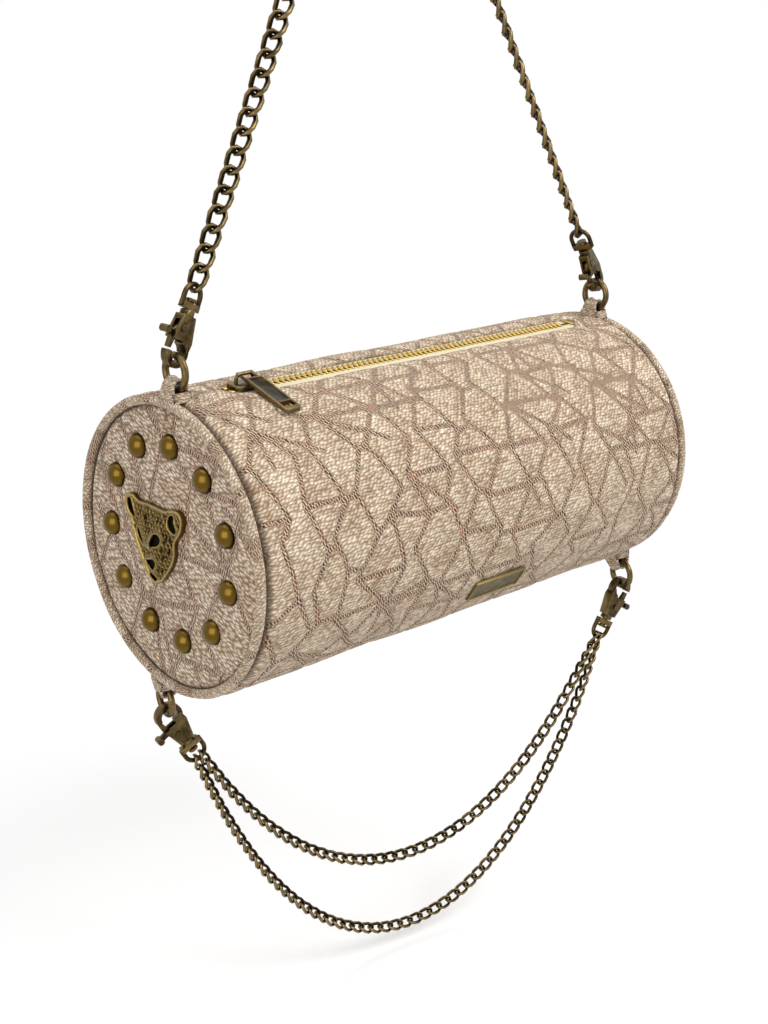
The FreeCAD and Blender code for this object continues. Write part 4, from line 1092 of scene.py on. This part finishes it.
def rounded(loop):
    """A closed outline with its corners cut twice, so that it curves."""
    for _ in range(2):
        ahead = np.roll(loop, -1, 0)
        loop = np.stack([loop * 0.75 + ahead * 0.25, loop * 0.25 + ahead * 0.75], 1).reshape(-1, 2)
    return loop


def plate_of(name, loops, front, back):
    """A flat plate between two x planes, with the first loop as outline and the others as openings."""
    curve = bpy.data.curves.new("plate", "CURVE")
    curve.dimensions = "2D"
    curve.fill_mode = "BOTH"
    curve.extrude = (back - front) / 2
    for loop in loops:
        spline = curve.splines.new("POLY")
        spline.points.add(len(loop) - 1)
        for spot, (y, z) in zip(spline.points, loop):
            spot.co = (y, z, 0.0, 1.0)
        spline.use_cyclic_u = True
    obj = put(name, curve)
    obj.matrix_world = Matrix(((0, 0, 1, (front + back) / 2), (1, 0, 0, 0), (0, 1, 0, 0), (0, 0, 0, 1)))
    only(obj)
    bpy.ops.object.convert(target="MESH")
    bpy.ops.object.transform_apply(location=True, rotation=True, scale=True)
    return obj


def backing(outline, x):
    """Black sheet behind the openings of the ornament."""
    ring = outline[:, :2]
    middle = ring.mean(0)
    points = [(x, *(middle + (p - middle) * 0.96)) for p in ring]
    face = list(range(len(points)))
    area = sum(a[1] * b[2] - b[1] * a[2] for a, b in zip(points, points[1:] + points[:1]))
    obj = mesh_object("ornament_backing", points, [face if area < 0 else face[::-1]])
    thicken(obj, 0.3 * MM)
    modify(obj, "TRIANGULATE")
    settle(obj, "enamel", "bag")


class BAG_OT_ornament(bpy.types.Operator):
    """Openwork big-cat head: raised rim, domed face and a coat of dark spots, over a black backing"""
    bl_idname = "bag.ornament"
    bl_label = "Ornament"

    def execute(self, context):
        low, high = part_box("cat_ornament")
        aside, widened = 7.0 * MM, 1.22
        dome, dome_run, rim_height, lip_height, spot_depth = 1.2 * MM, 10 * MM, 0.5 * MM, 0.2 * MM, 0.7 * MM
        middle = np.array([AXIS_Y + aside, AXIS_Z])
        loops = [rounded(np.array(loop) * MM + middle) for loop in (HEAD,) + HOLLOWS]
        # The openings are widened about their middles.
        loops[1:] = [loop.mean(0) + (loop - loop.mean(0)) * widened for loop in loops[1:]]
        obj = plate_of("cat_ornament_metal", loops, low.x, high.x)
        pieces = [np.hstack([p, np.roll(p, -1, 0)]) for p in loops]
        edges, outline = np.vstack(pieces), pieces[0]
        modify(obj, "REMESH", mode="VOXEL", voxel_size=0.22 * MM)
        modify(obj, "SMOOTH", factor=0.5, iterations=3)
        mesh = obj.data
        places, normals = points_and_normals(mesh)
        front = smooth((-normals[:, 0] - 0.4) / 0.4) * (places[:, 0] < (low.x + high.x) / 2)
        near = nearest(places[:, 1], places[:, 2], edges)
        inside = nearest(places[:, 1], places[:, 2], outline)
        rim = 1 - smooth((inside - 0.8 * MM) / (0.7 * MM))
        lips = 1 - smooth((near - 0.35 * MM) / (0.4 * MM))
        coat = self.coat(places[:, 1:], low, high, edges) * smooth((near - 0.7 * MM) / (0.4 * MM))
        rise = dome * smooth(inside / dome_run) + rim_height * rim + lip_height * lips - spot_depth * coat
        places[:, 0] -= front * rise
        mesh.vertices.foreach_set("co", places.ravel())
        mesh.update()
        only(obj)
        bpy.ops.object.shade_smooth()
        set_floats(mesh, "wear", np.where(front > 0.3, 0.30 + 0.65 * np.maximum(rim, 0.6 * lips), 0.15))
        set_floats(mesh, "hollow", front * coat)
        settle(obj, "worn", "bag", "cat_ornament")
        backing(outline, high.x - 0.45 * (high.x - low.x))
        return {"FINISHED"}

    def coat(self, spots, low, high, edges):
        """How deep each point lies in a spot of the coat."""
        chance = random.Random(17)
        step, row, stray = 1.95 * MM, 0.86, 0.16
        deep = np.zeros(len(spots))
        for i in range(int((high.z - low.z) / (step * row)) + 2):
            for j in range(int((high.y - low.y) / step) + 2):
                at = np.array([[low.y + (j + 0.5 * (i % 2) + chance.uniform(-stray, stray)) * step,
                                low.z + (i + chance.uniform(-stray, stray)) * step * row]])
                size = chance.uniform(0.52, 0.80) * MM
                if nearest(at[:, 0], at[:, 1], edges)[0] > 1.0 * MM:
                    gap = np.hypot(spots[:, 0] - at[0, 0], (spots[:, 1] - at[0, 1]) * 0.85)
                    deep = np.maximum(deep, smooth((size - gap) / (0.3 * MM) + 0.5))
        return deep


class BAG_OT_plate(bpy.types.Operator):
    """Bare rimmed plate on the front"""
    bl_idname = "bag.plate"
    bl_label = "Plate"

    def execute(self, context):
        dressed_copy("name_plate", "plate", "bag", 0.8)
        return {"FINISHED"}


class BAG_OT_clasps(bpy.types.Operator):
    """Four swivel clasps: hook, lever, rivet and eye each"""
    bl_idname = "bag.clasps"
    bl_label = "Clasps"

    def execute(self, context):
        for group in ("strap", "swag"):
            for word in ("left", "right"):
                stem = "%s_%s" % (group, word)
                dressed_copy(stem + "_hook", "cast", group, 1.4)
                dressed_copy(stem + "_rivet", "cast", group, 0.6)
                dressed_copy(stem + "_lever", "cast", stem + "_lever")
                dressed_copy(stem + "_eye", "cast", stem + "_eye")
        return {"FINISHED"}


class BAG_OT_rings(bpy.types.Operator):
    """Four round rings of thick wire"""
    bl_idname = "bag.rings"
    bl_label = "Rings"

    def execute(self, context):
        for level in ("upper", "lower"):
            for word in ("left", "right"):
                node = "%s_%s_ring" % (level, word)
                dressed_copy(node, "antique", node, 0.0)
        return {"FINISHED"}


# Stage


class BAG_OT_stage(bpy.types.Operator):
    """White studio: camera, soft lamps and a floor that keeps the bag's shadow"""
    bl_idname = "bag.stage"
    bl_label = "Studio"

    def execute(self, context):
        scene = context.scene
        scene.view_settings.view_transform = "Standard"
        view = bpy.data.cameras.new("camera")
        view.sensor_width = 36.0
        view.lens = 52.36
        camera = put("camera", view)
        # From the studded end's side, 42 degrees round and 18.5 degrees up.
        camera.location = (-383.6 * MM, AXIS_Y - 412.3 * MM, AXIS_Z + 176.9 * MM)
        ahead = Vector((0.6375, 0.7022, -0.3173))
        camera.rotation_euler = ahead.to_track_quat("-Z", "Y").to_euler()
        scene.camera = camera
        self.lamps()
        self.room(scene)
        return {"FINISHED"}

    def lamps(self):
        """Three soft lamps that face the barrel."""
        target = Vector((0, 0, AXIS_Z))
        for name, spot, width, power in (("key", (0.35, -0.75, 0.55), 0.7, 10.0),
                                         ("fill", (-0.95, -0.35, 0.05), 0.8, 4.6),
                                         ("top", (0.0, 0.15, 0.75), 0.9, 5.2)):
            lamp = bpy.data.lights.new(name, "AREA")
            lamp.size = width
            lamp.energy = power
            obj = put(name, lamp)
            obj.location = spot
            obj.rotation_euler = (target - Vector(spot)).to_track_quat("-Z", "Y").to_euler()

    def room(self, scene):
        """White to the eye, dimmer as a light, over a paper floor."""
        world = bpy.data.worlds.new("studio")
        scene.world = world
        world.use_nodes = True
        tree = world.node_tree
        seen = self.seen(tree)
        strength = add(tree, "MapRange", {"Value": (seen, 0), 3: 0.42, 4: 1.0})
        link(tree, strength, 0, tree.nodes["Background"], "Strength")
        tree.nodes["Background"].inputs["Color"].default_value = (1, 1, 1, 1)
        bpy.ops.mesh.primitive_plane_add(size=6.0, location=(0, 0, CAD_BOX[0].z - 6 * MM))
        floor = bpy.context.object
        floor.name = "floor"
        # Paper gives a soft even white, and turns to pure white away from the bag.
        made, tree, shader = material("white paper", {"Base Color": (0.8, 0.8, 0.8, 1), "Roughness": 0.9,
                                                      "Emission Color": (1, 1, 1, 1)})
        seen = self.seen(tree)
        place = add(tree, "TexCoord")
        reach = add(tree, "VectorMath", {0: (place, "Object")}, operation="LENGTH")
        far = add(tree, "MapRange", {"Value": (reach, "Value"), 1: 0.16, 2: 0.40},
                  interpolation_type="SMOOTHSTEP")
        clear = add(tree, "Math", {0: (far, 0), 1: (seen, 0)}, operation="MULTIPLY")
        glow = add(tree, "Emission", {"Strength": 1.0})
        lift = add(tree, "Math", {0: (seen, 0), 1: 0.22}, operation="MULTIPLY")
        link(tree, lift, 0, shader, "Emission Strength")
        mixed = add(tree, "MixShader", {0: (clear, 0), 1: (shader, 0), 2: (glow, 0)})
        link(tree, mixed, 0, tree.nodes["Material Output"], "Surface")
        floor.data.materials.append(made)

    def seen(self, tree):
        """1 for rays that the camera sees directly, by reflection or through glass."""
        path = add(tree, "LightPath")
        first = add(tree, "Math", {0: (path, "Is Camera Ray"), 1: (path, "Is Glossy Ray")}, operation="MAXIMUM")
        return add(tree, "Math", {0: (first, 0), 1: (path, "Is Transmission Ray")}, operation="MAXIMUM")


OPERATORS = (BAG_OT_stage, BAG_OT_strap, BAG_OT_swags, BAG_OT_barrel_cloth, BAG_OT_end_cloth, BAG_OT_piping,
             BAG_OT_tabs, BAG_OT_zip_tapes, BAG_OT_zip_teeth, BAG_OT_slider, BAG_OT_lining, BAG_OT_studs,
             BAG_OT_ornament, BAG_OT_plate, BAG_OT_clasps, BAG_OT_rings)


class BAG_PT_panel(bpy.types.Panel):
    """Lists the sizes, the colours and the pieces of the bag"""
    bl_idname = "BAG_PT_panel"
    bl_label = "Barrel bag"
    bl_space_type = "VIEW_3D"
    bl_region_type = "UI"
    bl_category = "Barrel bag"

    def draw(self, context):
        for group in (context.scene.bag_sizes, context.scene.bag_colours):
            for key in group.bl_rna.properties.keys():
                if key not in ("rna_type", "name"):
                    self.layout.prop(group, key)
        for kind in OPERATORS:
            self.layout.operator(kind.bl_idname)


CLASSES = (BagSizes, BagColours) + OPERATORS + (BAG_PT_panel,)


def register():
    for kind in CLASSES:
        bpy.utils.register_class(kind)
    bpy.types.Scene.bag_sizes = bpy.props.PointerProperty(type=BagSizes)
    bpy.types.Scene.bag_colours = bpy.props.PointerProperty(type=BagColours)


def unregister():
    del bpy.types.Scene.bag_colours
    del bpy.types.Scene.bag_sizes
    for kind in reversed(CLASSES):
        bpy.utils.unregister_class(kind)


def main():
    register()
    bpy.ops.object.select_all(action="DESELECT")
    for kind in OPERATORS:
        name = kind.bl_idname.split(".")[1]
        getattr(bpy.ops.bag, name)()


if __name__ == "__main__":
    main()
